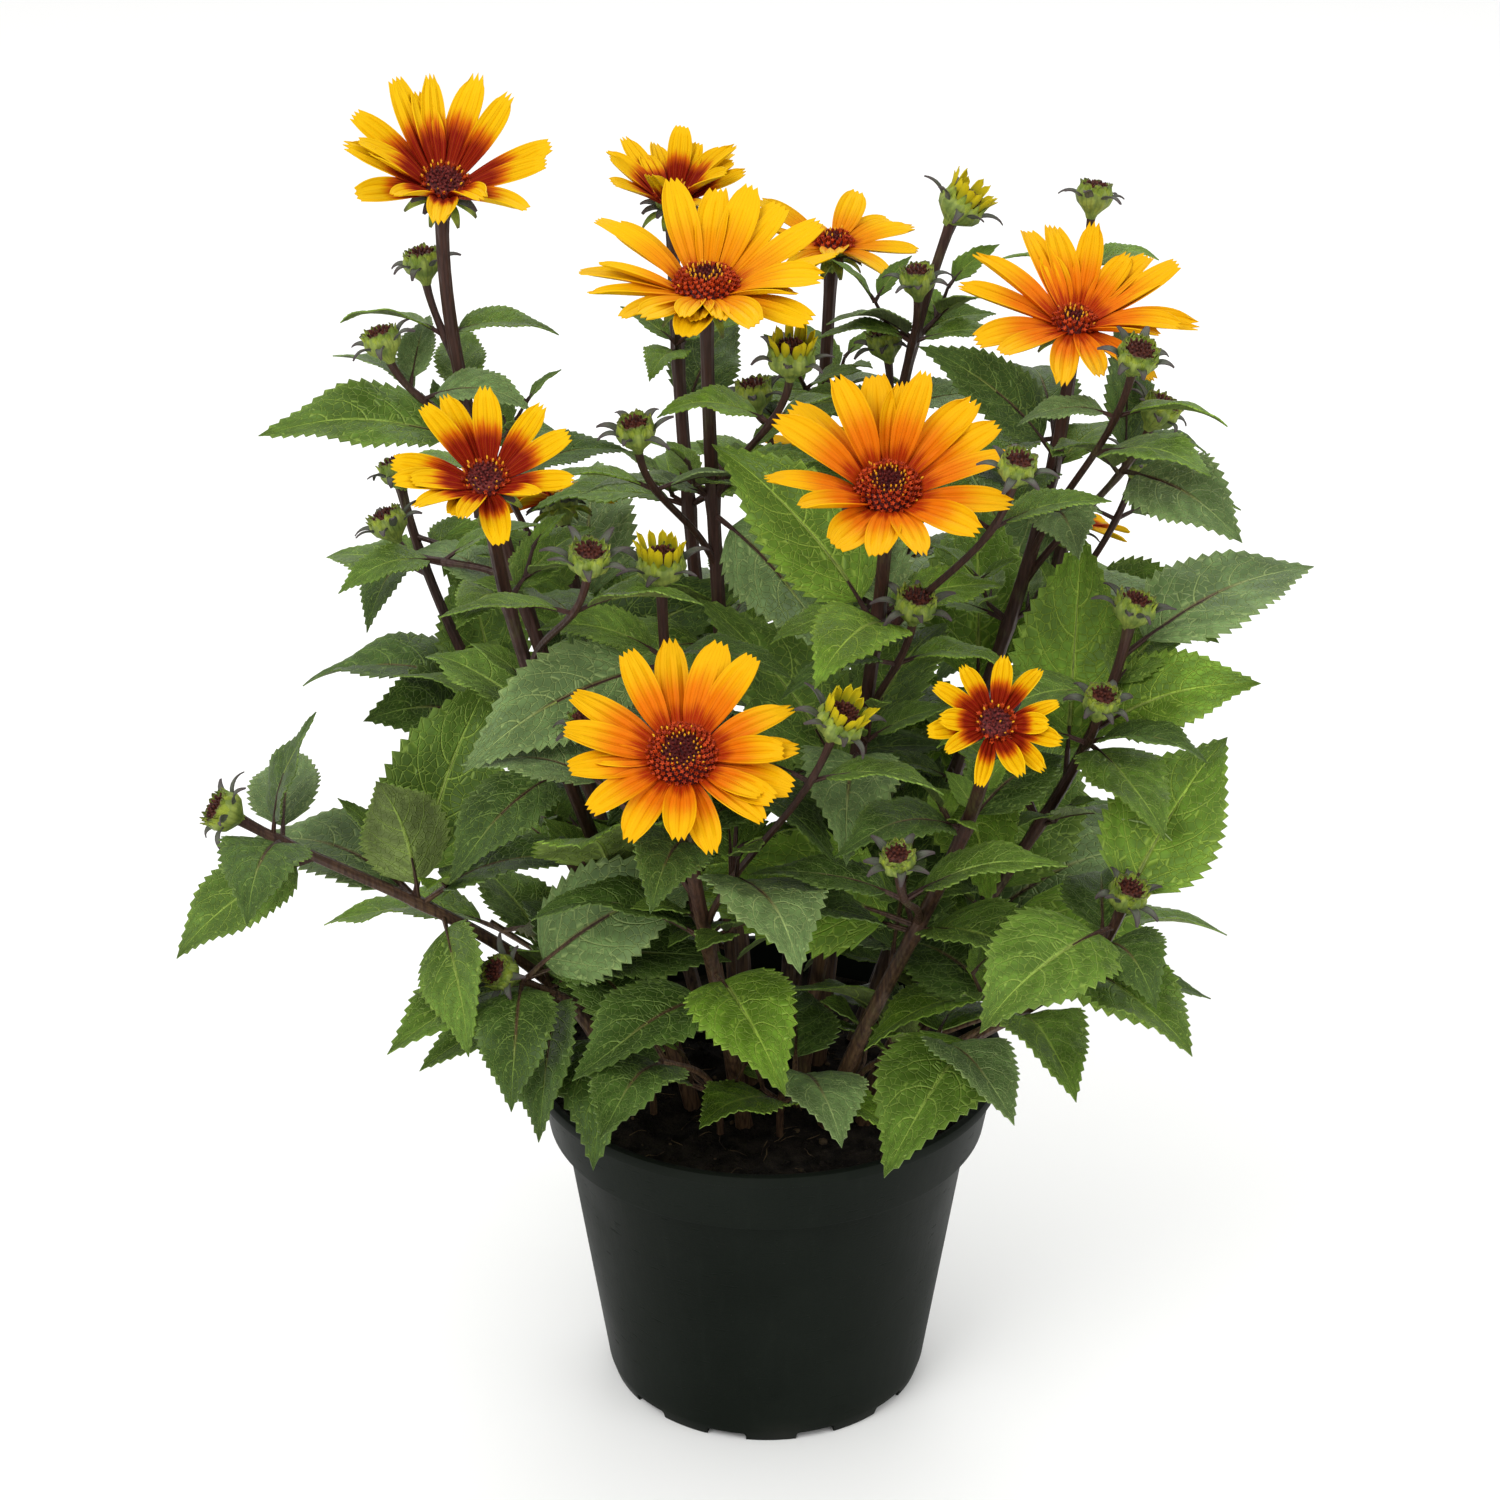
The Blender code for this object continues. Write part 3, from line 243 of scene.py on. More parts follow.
def makeLeafPaint(name, tint, back):
    look = leafPaint
    face, under, vein = look.tints[tint]
    ground = under if back else face
    roughness = look.backRoughness if back else look.roughness
    paint = newPaint(name, ground, roughness, look.gloss)
    side, along = paint.side, paint.along
    halves = paint.across.ease(0.499, 0.501) * 0.32
    nearVein = (along * look.pairs - side ** look.arc * look.lean + halves).offMiddle()
    lateral = nearVein.fall(0.0, look.veinWidth) * side.ease(0.55, 1.0, 1.0, 0.25)
    midrib = (side * (along * 0.9 + 0.6)).fall(0.012, 0.060)
    cells = {"Vector": paint.ownMap.stretched(look.cells), "Scale": 1.0, "Randomness": 0.85}
    net = side.node("ShaderNodeTexVoronoi", {"feature": "DISTANCE_TO_EDGE"}, cells).fall(0.0, 0.085)
    patches = paint.place.grain(46.0)
    mottle = paint.place.grain(420.0, 2.0)
    # hollow is painted shade: it darkens the middle between the lateral veins, where the quilted blade lies in shade
    hollow = nearVein.ease(0.16, 0.46) * side.ease(0.04, 0.20)
    reach = 0.62 if tint in look.brownMidribs else 0.24
    spine = along.ease(reach - 0.22, reach + 0.10).blend(rgb(look.midrib), rgb(vein, 1.15))
    height = (lateral * 0.9 + midrib + net * 0.60) * (1.0 if back else -1.0) + mottle * 0.15
    return finishPaint(paint, patches.ease(0.32, 0.70).blend(rgb(ground, 0.66), rgb(ground, 1.36)), (
        # painted shade in the hollows between the veins
        (hollow * 0.45, rgb(ground, 0.48)),
        (mottle.ease(0.35, 0.70) * 0.42, rgb(ground, 0.50)),
        (side.ease(0.80, 1.0) * 0.20, rgb(vein)),
        (net * (0.32 if back else 0.58), rgb(vein, 0.94)),
        (lateral * 0.80, rgb(vein, 1.08)),
        (midrib * 0.78, spine),
    ), patches.ease(0.25, 0.75, -0.07, 0.09) + roughness, height, 0.0008, 0.80)


# Petal finish
petalPaint = Settings(
    kinds={  # tip, middle, base, share of the length that the base colour takes, share of the middle
        "sun": ((0.705, 0.415, 0.001), (0.550, 0.105, 0.001), (0.215, 0.007, 0.002), 0.47, 0.10),
        "gold": ((0.715, 0.405, 0.001), (0.680, 0.235, 0.001), (0.450, 0.050, 0.001), 0.17, 0.46),
        "amber": ((0.705, 0.370, 0.001), (0.655, 0.152, 0.001), (0.360, 0.024, 0.001), 0.26, 0.44),
        "young": ((0.480, 0.380, 0.006), (0.300, 0.285, 0.012), (0.150, 0.170, 0.020), 0.10, 0.60),
    },
    veins=9.0, roughness=0.58, gloss=0.08,
)


def makePetalPaint(kind):
    tip, middle, base, red, fade = petalPaint.kinds[kind]
    paint = newPaint(f"petal_{kind}", tip, petalPaint.roughness, petalPaint.gloss)
    along = paint.along
    streak = paint.ownMap.grain(5.0, 3.0, (4.0, 0.55, 1.0))
    blush = paint.place.grain(60.0, 2.0)
    course = along + paint.side ** 2.0 * 0.10 + (streak - 0.5) * 0.30 + (blush - 0.5) * 0.16
    vein = (paint.across * petalPaint.veins).offMiddle().fall(0.0, 0.24)
    return finishPaint(paint, course.ease(red + fade * 0.25, red + fade + 0.12).blend(rgb(middle), rgb(tip)), (
        (course.fall(red - 0.10, red + 0.10), rgb(base)),
        (vein * along.ease(0.25, 0.85, 0.34, 0.05), rgb(middle, 0.72)),
        (streak.ease(0.50, 0.78) * along.ease(0.9, 0.3) * 0.30, rgb(middle, 0.85)),
    ), None, vein * -0.5 + streak * 0.6, 0.0004, 0.4)


# Stem, bract, floret, soil and pot finishes
stemPaint = Settings(
    upper=(0.052, 0.022, 0.016), lower=(0.105, 0.060, 0.030), green=(0.085, 0.095, 0.030), turn=(0.17, 0.27),
    roughness=0.46, gloss=0.25, ribs=7.0,
)


def makeStemPaint():
    upper, lower = stemPaint.upper, stemPaint.lower
    paint = newPaint("stemBark", upper, stemPaint.roughness, stemPaint.gloss)
    patch = paint.place.grain(55.0)
    streak = paint.place.grain(900.0, 4.0, (1.0, 1.0, 0.07))
    height = paint.place.axis(2) + (patch - 0.5) * 0.12
    ground = height.ease(*stemPaint.turn).blend(rgb(lower), rgb(upper))
    shade = (patch.ease(0.56, 0.74) * 0.55).blend(ground, rgb(stemPaint.green))
    ribs = (paint.across * stemPaint.ribs).offMiddle()
    return finishPaint(paint, shade, (
        (streak.ease(0.35, 0.70), shade.blend(rgb(upper, 0.55), rgb(lower, 0.8))),
        (ribs.ease(0.0, 0.16, 0.45, 0.0), rgb(upper, 0.45)),
    ), streak.ease(0.3, 0.7, 0.38, 0.60), streak + ribs * 1.2, 0.0005, 0.6)


bractPaint = {
    "cup": ((0.120, 0.170, 0.034), (0.245, 0.300, 0.056)),
    "bract": ((0.074, 0.086, 0.054), (0.112, 0.118, 0.094)),
    "scale": ((0.140, 0.205, 0.026), (0.310, 0.375, 0.040)),
    "rib": ((0.150, 0.195, 0.045), (0.270, 0.350, 0.070)),
}


def makeBractPaint(kind):
    dark, light = bractPaint[kind]
    paint = newPaint(f"green_{kind}", light, 0.55, 0.2)
    grain = paint.place.grain(260.0)
    ribs = (paint.across * (20.0 if kind == "cup" else 5.0)).offMiddle().fall(0.0, 0.28)
    layers = [(ribs * 0.35, rgb(dark, 0.8))]
    if kind == "bract":
        layers.append((paint.along.ease(0.45, 0.95) * 0.75, rgb((0.070, 0.046, 0.052))))
        layers.append((paint.side.ease(0.70, 1.0) * 0.6, rgb((0.035, 0.022, 0.026))))
    if kind == "scale":
        layers.append((paint.along.ease(0.7, 1.0) * 0.7, rgb((0.055, 0.035, 0.030))))
    shade = grain.ease(0.34, 0.66).blend(rgb(dark), rgb(light))
    return finishPaint(paint, shade, layers, None, grain - ribs * 0.8, 0.0004, 0.5)


floretPaint = {
    "heart": ((0.045, 0.006, 0.007), (0.115, 0.012, 0.009)),
    "brick": ((0.200, 0.014, 0.004), (0.520, 0.060, 0.008)),
    "pollen": ((0.640, 0.230, 0.012), (0.860, 0.470, 0.020)),
    "bud": ((0.026, 0.006, 0.005), (0.092, 0.024, 0.014)),
    "wine": ((0.038, 0.005, 0.006), (0.185, 0.028, 0.024)),
}


def makeFloretPaint(kind):
    dark, light = floretPaint[kind]
    paint = newPaint(f"floret_{kind}", light, 0.55, 0.15)
    grain = paint.place.grain(900.0, 2.0)
    shade = grain.ease(0.36, 0.64).blend(rgb(dark), rgb(light))
    return finishPaint(paint, shade, (), None, grain, 0.0003, 0.5)


soilPaint = {
    "peat": ((0.0058, 0.0046, 0.0038), (0.022, 0.017, 0.013)),
    "straw": ((0.022, 0.017, 0.013), (0.115, 0.078, 0.042)),
}


def makeSoilPaint(kind):
    dark, light = soilPaint[kind]
    paint = newPaint(kind, light, 0.95, 0.1)
    lumps = paint.place.grain(160.0, 6.0)
    fine = paint.place.grain(900.0)
    shade = lumps.ease(0.32, 0.70).blend(rgb(dark), rgb(light))
    layers = ((fine.ease(0.60, 0.72) * 0.4, rgb(light, 1.8)),)
    return finishPaint(paint, shade, layers, None, lumps + fine * 0.5, 0.0016, 0.9)


potPaint = Settings(
    colour=(0.0042, 0.0062, 0.0042), pale=(0.0080, 0.0106, 0.0080), dust=(0.026, 0.026, 0.022), roughness=0.45,
    gloss=0.03,
)


def makePotPaint():
    look = potPaint
    paint = newPaint("potPlastic", look.colour, look.roughness, look.gloss)
    place = paint.place
    cloud, speck = place.grain(16.0, 4.0), place.grain(1300.0, 2.0)
    flow = place.grain(240.0, 3.0, (1.0, 1.0, 0.05))
    scratch = place.grain(120.0, 5.0, (1.0, 1.0, 7.0)).ease(0.62, 0.72)
    height = place.axis(2)
    dust = height.ease(0.012, 0.0, 0.0, 0.55) + height.ease(0.118, 0.131, 0.0, 0.12)
    rough = cloud.ease(0.3, 0.7, -0.05, 0.08) + look.roughness + scratch * 0.12
    return finishPaint(paint, cloud.ease(0.30, 0.75).blend(rgb(look.colour), rgb(look.pale)), (
        (flow.ease(0.55, 0.80) * 0.22, rgb(look.pale, 1.4)),
        (dust * cloud.ease(0.42, 0.68), rgb(look.dust)),
        (speck.ease(0.70, 0.78) * 0.35, rgb(look.dust)),
    ), rough, speck * 0.35 + flow * 0.6 + scratch * -0.4, 0.0003, 0.35)


# Growth: the sizes and the rule are the solids' own
growth = Settings(
    potHeight=0.130, lipRadius=0.085, bandFoot=0.0787, gap=0.0003, clearance=0.0005, samples=200,
    stem=0.0030, neck=0.0023, twig=0.0014, twigNeck=1.2, footFlare=1.15, footSpread=0.30, lowFoot=0.46,
    stemSides=6, axisSides=4, twigSides=4, stemSteps=4, axisSteps=6, twigSteps=4,
    stemStart=0.36, stemEnd=0.30, stemOut=0.9, sideStart=0.38, sideEnd=0.34, sideUpright=0.6,
    sideTaper=(1.25, 0.25), lowTaper=(1.4, 0.5), lowTip=0.3, bows=(0.005, 0.010, 0.016),
    lowSwings=(0.0, 5.0, -5.0, 10.0, -10.0, 15.0, -15.0), lowTipRise=35.0,
    leafLength=0.074, leafBreadth=0.52, leafThickness=0.0011, petiole=0.011, petioleRadius=0.0009,
    stations=((0.0, 0.12), (0.30, 1.0), (0.68, 0.62), (1.0, 0.0)), lowestPair=0.006, topPair=0.022,
    internode=0.073, pairStep=(0.76, 0.12, 3), tipShare=0.36, tipHeights=(0.26, 0.42),
    leafShares=(0.62, 0.22), lowLeafShares=(0.80, 0.12),
    rise=(18.0, 38.0), droop=(40.0, 70.0), roll=16.0, turn=14.0, spread=(0.88, 1.08),
    scales=(1.0, 0.84, 0.68), lifts=(0.0, 16.0, -18.0, 32.0, -36.0),
    swings=(0.0, 16.0, -16.0, 32.0, -32.0, 48.0, -48.0),
    outerDroop=34.0, outerScales=(1.0, 0.88), outerLifts=(0.0, 8.0, -8.0, 16.0, -16.0),
    outerSwings=(0.0, 8.0, -8.0, 16.0, -16.0, 24.0, -24.0),
    petalThickness=0.0010, petalNotch=0.26, petalTip=0.24, petalSpread=(0.92, 1.04),
    cupHeight=0.0045, cupRoot=0.004, cupFoot=1.1, cupShare=0.9, discTop=0.55, discDome=0.5,
    bud=0.0062, budBracts=5, bractNotch=0.55,
    low=(-0.202, -0.165, 0.124), high=(0.184, 0.170, 0.490), lowestTip=0.148, rimClearance=0.004,
)

# A stem: its head's place and kind, lean and the side it leans to (-90 is the front), then for a flower
# its breadth, petals and their lift, disc, finish, how wide its petals are and how many stand in a second row
stemFields = ("tip", "head", "lean", "side", "entry", "bare", "turn", "breadth", "petals", "lift", "disc", "paint",
              "wide", "inner")
stemRows = {
    "a": ((-0.104, -0.008, 0.450), "flower", 30, -72, 0.205, 0.095, 20, 0.076, 13, 34, 0.0140, "sun", 0.78, 3),
    "b": ((-0.088, -0.070, 0.374), "flower", 30, -95, 0.190, 0.045, 50, 0.060, 12, 24, 0.0130, "sun", 0.80, 2),
    "c": ((-0.032, 0.046, 0.428), "flower", 8, -90, 0.200, 0.050, 80, 0.056, 12, 34, 0.0120, "sun", 0.80, 4),
    "d": ((-0.020, -0.015, 0.417), "flower", 9, -92, 0.200, 0.070, 10, 0.084, 16, 12, 0.0205, "gold", 1.05, 5),
    "e": ((0.022, 0.066, 0.405), "flower", 6, -40, 0.195, 0.050, 30, 0.062, 11, 8, 0.0125, "gold", 0.85, 0),
    "f": ((0.098, -0.015, 0.405), "flower", 13, -85, 0.205, 0.050, 70, 0.078, 14, 10, 0.0130, "amber", 0.90, 4),
    "g": ((0.037, -0.069, 0.370), "flower", 26, -88, 0.190, 0.045, 15, 0.080, 15, 18, 0.0195, "amber", 0.98, 1),
    "h": ((-0.027, -0.113, 0.300), "flower", 36, -90, 0.170, 0.036, 64, 0.078, 15, 8, 0.0205, "amber", 1.02, 4),
    "i": ((0.069, -0.113, 0.312), "flower", 44, -85, 0.165, 0.050, 35, 0.044, 11, 14, 0.0110, "sun", 0.72, 2),
    "j": ((-0.034, -0.070, 0.345), "opening", 5, -90, 0.185, 0.030, 0),
    "l": ((0.061, 0.026, 0.433), "opening", 36, 0, 0.200, 0.045, 40),
    "m": ((-0.176, -0.060, 0.255), "bud", 55, 195, 0.160, 0.020, 90),
    "n": ((0.116, -0.060, 0.326), "bud", 15, 0, 0.170, 0.030, 25),
    "o": ((0.113, -0.105, 0.247), "bud", 25, -40, 0.150, 0.020, 75),
    "p": ((-0.075, 0.104, 0.296), "flower", 32, 115, 0.180, 0.040, 65, 0.066, 11, 14, 0.0150, "amber", 0.88, 0),
    "q": ((0.030, 0.128, 0.300), "flower", 36, 82, 0.175, 0.040, 5, 0.074, 11, 10, 0.0180, "gold", 0.92, 2),
    "r": ((0.108, 0.084, 0.296), "flower", 30, 35, 0.180, 0.040, 47, 0.056, 11, 16, 0.0140, "sun", 0.82, 0),
    "s": ((-0.128, 0.050, 0.330), "bud", 20, 160, 0.175, 0.030, 55),
}
stems = {name: Settings(zip(stemFields, row), arch=1.0, upright=0.9) for name, row in stemRows.items()}
stems["m"].update(arch=5.0, upright=0.1)  # it leans far out to the left

# A side shoot: its stem, how far up it leaves, its head's place and kind, lean and the side it leans to
sideFields = ("stem", "fork", "tip", "head", "lean", "side")
sideShoots = (
    ("a", 0.78, (-0.112, 0.006, 0.420), "bud", 8, 180),
    ("a", 0.70, (-0.124, -0.008, 0.398), "bud", 20, 180),
    ("a", 0.55, (-0.128, 0.022, 0.322), "bud", 25, 170),
    ("b", 0.70, (-0.056, -0.094, 0.358), "bud", 15, -60),
    ("d", 0.74, (0.007, -0.028, 0.399), "opening", 5, -60),
    ("d", 0.66, (-0.042, -0.040, 0.379), "bud", 12, -120),
    ("e", 0.76, (-0.004, 0.030, 0.366), "bud", 10, 180),
    ("f", 0.70, (0.114, -0.052, 0.409), "bud", 25, -60),
    ("f", 0.72, (0.106, 0.020, 0.438), "bud", 10, 40),
    ("f", 0.66, (0.126, -0.010, 0.375), "bud", 30, 0),
    ("g", 0.74, (0.075, -0.088, 0.386), "bud", 20, -60),
    ("g", 0.62, (0.046, -0.070, 0.332), "bud", 15, -60),
    ("h", 0.55, (0.020, -0.118, 0.314), "opening", 28, -30),
    ("h", 0.62, (-0.056, -0.098, 0.303), "bud", 15, 180),
    ("i", 0.50, (0.040, -0.128, 0.272), "bud", 25, -100),
    ("l", 0.78, (0.049, 0.010, 0.413), "bud", 8, -120),
    ("l", 0.70, (0.040, 0.028, 0.385), "bud", 15, 180),
    ("n", 0.72, (0.105, -0.080, 0.303), "bud", 20, -60),
    ("p", 0.70, (-0.100, 0.090, 0.335), "bud", 15, 150),
    ("q", 0.70, (0.000, 0.122, 0.328), "bud", 12, 120),
    ("q", 0.62, (0.058, 0.120, 0.290), "bud", 25, 50),
    ("r", 0.70, (0.128, 0.050, 0.335), "bud", 18, 0),
)

# A low shoot: its azimuth, reach and height, and its head where it has one
lowFields = ("azimuth", "reach", "rise", "head")
lowShoots = (
    (-58, 0.098, 0.060), (-84, 0.092, 0.055), (-112, 0.095, 0.058), (-146, 0.105, 0.074, "bud"), (172, 0.100, 0.055),
    (140, 0.104, 0.060), (105, 0.100, 0.062), (70, 0.100, 0.058), (32, 0.104, 0.064), (0, 0.106, 0.055),
    (-30, 0.104, 0.060),
)

# The leaves that give the outline: shoot, share of it, azimuth, rise and roll of the leaf, length
outerLeaves = (
    ("n", 0.93, 24, 8, 10, 0.072), ("o", 0.44, -117, -11, 0, 0.072), ("o", 0.93, -129, -6, -12, 0.066),
    ("h", 0.43, -73, -6, 9, 0.066), ("h", 0.37, -130, -5, -10, 0.062), ("f1", 0.57, -53, 9, 10, 0.050),
    ("m", 0.82, -147, -24, -14, 0.051), ("m", 0.61, -120, 66, 48, 0.054), ("m", 0.91, 24, 66, -1, 0.041),
    ("m", 0.62, 51, 53, 47, 0.074), ("m", 0.56, -76, -32, 47, 0.050), ("m", 0.25, -145, -10, -17, 0.054),
    ("b", 0.55, -132, -22, -4, 0.053), ("s", 0.56, -134, 19, -48, 0.059), ("s", 0.56, 107, 45, -21, 0.061),
    ("s", 0.90, -18, -27, 44, 0.064), ("s", 0.83, 142, -10, -14, 0.045), ("low_05", 0.69, 127, 17, 8, 0.053),
    ("low_04", 0.78, -91, -26, 48, 0.054), ("low_04", 0.93, 1, 31, 48, 0.071), ("o", 0.78, -64, -2, 9, 0.056),
    ("o", 0.95, 49, 32, 31, 0.067), ("n", 0.77, -68, -12, -1, 0.050), ("n", 0.79, -18, 23, 44, 0.053),
    ("n", 0.69, 80, 57, 0, 0.074), ("f3", 0.72, -60, -4, 26, 0.057), ("f3", 0.74, 86, 59, 47, 0.047),
    ("a", 0.71, -172, 4, -20, 0.064), ("a", 0.43, 7, 26, 48, 0.068), ("a", 0.76, 100, 18, -13, 0.034),
    ("a2", 0.67, 80, 33, -1, 0.027), ("low_08", 0.38, 51, 58, 48, 0.074), ("n", 0.40, 58, 29, 23, 0.074),
    ("d", 0.73, -50, -30, 48, 0.064), ("f", 0.50, 87, 41, 0, 0.073), ("r", 0.38, 110, 43, -32, 0.074),
    ("i", 0.50, 172, 2, -48, 0.074), ("i", 0.36, 75, 40, -5, 0.074), ("j", 0.85, -165, -21, -39, 0.066),
    ("r1", 0.43, -31, -12, 48, 0.051), ("p", 0.77, 106, 25, -15, 0.071), ("g", 0.51, 148, 44, -26, 0.074),
    ("f", 0.84, 172, 36, -32, 0.052), ("g", 0.79, 151, 37, -30, 0.071), ("n", 0.44, -28, -29, 26, 0.074),
    ("r", 0.80, 130, 51, -36, 0.074), ("c", 0.74, 70, 22, 26, 0.049),
)

# A fine twig: lengths in metres, angles in degrees
fineTwig = Settings(
    length=(0.012, 0.026), rise=(46.0, 68.0), radius=0.0007, taper=(1.6, 0.8), turn=24.0, swings=(0.0, 24.0, -24.0),
    pairs=((0, 90.0, 1.0, 0.0), (1, 0.0, 0.8, 16.0)),  # where on the twig, turn, size and steepness of each pair
    leaf=(0.015, 0.027), lowLeaf=(0.022, 0.036), lowUnder=0.20, leafRise=(24.0, 50.0), leafDroop=(20.0, 50.0),
    underFlower=0.018, bareTop=0.030, nearBud=0.030,
)


def direction(azimuth, rise):
    turn, lift = math.radians(azimuth), math.radians(rise)
    return Vector((math.cos(lift) * math.cos(turn), math.cos(lift) * math.sin(turn), math.sin(lift)))


def bezier(controls, amount):
    a, b, c, d = controls
    rest = 1.0 - amount
    return rest**3 * a + 3 * rest**2 * amount * b + 3 * rest * amount**2 * c + amount**3 * d


def curvePoints(controls, first, last, count):
    return [bezier(controls, first + (last - first) * k / count) for k in range(count + 1)]


def between(start, end, steps):
    return [start + (end - start) * k / steps for k in range(steps + 1)]


def tapering(radius, taper, steps):
    return [radius * (taper[0] - taper[1] * k / steps) for k in range(steps + 1)]


def framesAlong(path):  # two side vectors at each point, turned with the path
    tangents = [(after - before).normalized() for before, after in zip(path, path[1:])]
    tangents.append(tangents[-1])
    across = tangents[0].orthogonal().normalized()
    frames = []
    for k, tangent in enumerate(tangents):
        if k:
            across.rotate(tangents[k - 1].rotation_difference(tangent))
        frames.append((across.copy(), tangent.cross(across)))
    return frames


def skin(rings, tip=None):  # a coarse body over rings, which only tells what room a limb or leaf takes
    points = [Vector(point) for ring in rings for point in ring]
    count = len(rings[0])
    last = (len(rings) - 1) * count
    faces = [tuple(reversed(range(count)))]
    for start in range(0, last, count):
        for k in range(count):
            after = (k + 1) % count
            faces.append((start + k, start + after, start + after + count))
            faces.append((start + k, start + after + count, start + k + count))
    if tip is None:
        faces.append(tuple(range(last, last + count)))
    else:
        points.append(Vector(tip))
        faces += [(last + k, last + (k + 1) % count, len(points) - 1) for k in range(count)]
    return points, faces


def roomOfTube(path, radii, sides):
    turns = [fullTurn * n / sides for n in range(sides)]
    return skin([
        [centre + radius * (math.cos(turn) * across + math.sin(turn) * other) for turn in turns]
        for centre, radius, (across, other) in zip(path, radii, framesAlong(path))
    ])


def roomOfBud(base, axis, profile):
    across = axis.orthogonal().normalized()
    other = axis.cross(across)
    sides = 2 * growth.budBracts
    rings = []
    for row, (height, radius) in enumerate(profile):
        reaches = [radius * (growth.bractNotch if row == 1 and n % 2 else 1.0) for n in range(sides)]
        turns = [fullTurn * n / sides for n in range(sides)]
        rings.append([
            base + height * axis + reach * (math.cos(turn) * across + math.sin(turn) * other)
            for turn, reach in zip(turns, reaches)
        ])
    return skin(rings)


def roomOfFlower(node, base, axis, spec):
    rng = random.Random(f"petals {node}")
    radius, petals, lift = spec.disc / 2, spec.petals, math.radians(spec.lift)
    across = axis.orthogonal().normalized()
    other = axis.cross(across)
    cup, thick = growth.cupHeight, growth.petalThickness

    def spot(turn, reach, height):
        angle = fullTurn * turn / petals
        return base + reach * (math.cos(angle) * across + math.sin(angle) * other) + height * axis

    rows = (
        (growth.neck * growth.cupFoot, -growth.cupRoot), (radius * growth.cupShare, cup), (radius, cup + thick),
        (radius * growth.discTop, cup + thick + radius * growth.discDome),
    )
    points = [spot(k, *row) for row in rows for k in range(petals)]
    for k in range(petals):
        length = (spec.breadth / 2 - radius) * rng.uniform(*growth.petalSpread)
        notch = (spec.breadth / 2 - radius) * growth.petalNotch
        for turn, out in ((k - growth.petalTip, length), (k + growth.petalTip, length), (k + 0.5, notch)):
            points.append(spot(turn, radius + out * math.cos(lift), cup + thick / 2 + out * math.sin(lift)))
    rim = 4 * petals
    faces = [tuple(reversed(range(petals))), tuple(range(3 * petals, rim))]
    for k in range(petals):
        after = (k + 1) % petals
        for low in (0, 2 * petals):
            faces.append((low + k, low + after, low + petals + after, low + petals + k))
        corners = [rim + 3 * k, rim + 3 * k + 1, rim + 3 * k + 2, rim + 3 * after]
        for first, second in zip(corners[:2], corners[1:3]):
            faces.append((petals + k, first, second))
            faces.append((2 * petals + k, second, first))
        faces += [
            (petals + k, corners[2], petals + after), (petals + after, corners[2], corners[3]),
            (2 * petals + k, 2 * petals + after, corners[2]), (2 * petals + after, corners[3], corners[2]),
        ]
    return points, faces


def roomOfLeaf(root, azimuth, rise, droop, roll, length, grow=0.0, stalk=True):
    level = direction(azimuth + 90.0, 0.0)
    spot = root + direction(azimuth, rise) * (growth.petiole * length / growth.leafLength)
    stem = 2 * growth.petioleRadius
    path, sides, breadths = ([root], [level], [stem + grow]) if stalk else ([], [], [])
    before = 0.0
    for along, breadth in growth.stations:
        angle = rise - droop * (along + before) / 2
        spot = spot + direction(azimuth, angle) * length * (along - before)
        before = along
        path.append(spot)
        sides.append(Quaternion(direction(azimuth, angle), math.radians(roll)) @ level)
        breadths.append(max(growth.leafBreadth * length * breadth, stem) + 2 * grow)
    path = [point + Vector((0.0, 0.0, grow)) for point in path]
    thickness = growth.leafThickness + 2 * grow
    rings = []
    for k, (centre, across, breadth) in enumerate(zip(path, sides, breadths)):
        ahead = (path[min(k + 1, len(path) - 1)] - path[max(k - 1, 0)]).normalized()
        normal = across.cross(ahead).normalized()
        keel = centre - normal * min(thickness, breadth)
        rings.append([centre - across * breadth / 2, centre + across * breadth / 2, keel])
    return skin(rings[:-1], path[-1])


class Room:
    # the space that limbs, heads and leaves have taken so far
    def __init__(self):
        self.taken = []

    def boxed(self, shape):
        points = shape[0]
        return Vector(map(min, *points)), Vector(map(max, *points)), BVHTree.FromPolygons(*shape)

    def add(self, node, shape):
        self.taken.append((node, *self.boxed(shape)))

    def clashes(self, shape, own=None):
        low, high, tree = self.boxed(shape)
        return any(
            node != own and all(low[k] <= otherHigh[k] and high[k] >= otherLow[k] for k in range(3))
            and tree.overlap(other)
            for node, otherLow, otherHigh, other in self.taken
        )


def outsideCrown(shape):
    for point in shape[0]:
        if any(point[k] < growth.low[k] or point[k] > growth.high[k] for k in range(3)):
            return True
        overPot = point.xy.length < growth.lipRadius + growth.rimClearance
        nearLip = point.xy.length > growth.bandFoot - growth.rimClearance
        if overPot and nearLip and point.z < growth.potHeight + growth.rimClearance:
            return True
        if not overPot and point.z < growth.lowestTip:
            return True
    return False


def soilHeight(soil, x, y):
    return soil.ray_cast(Vector((x, y, growth.potHeight)), down)[0].z


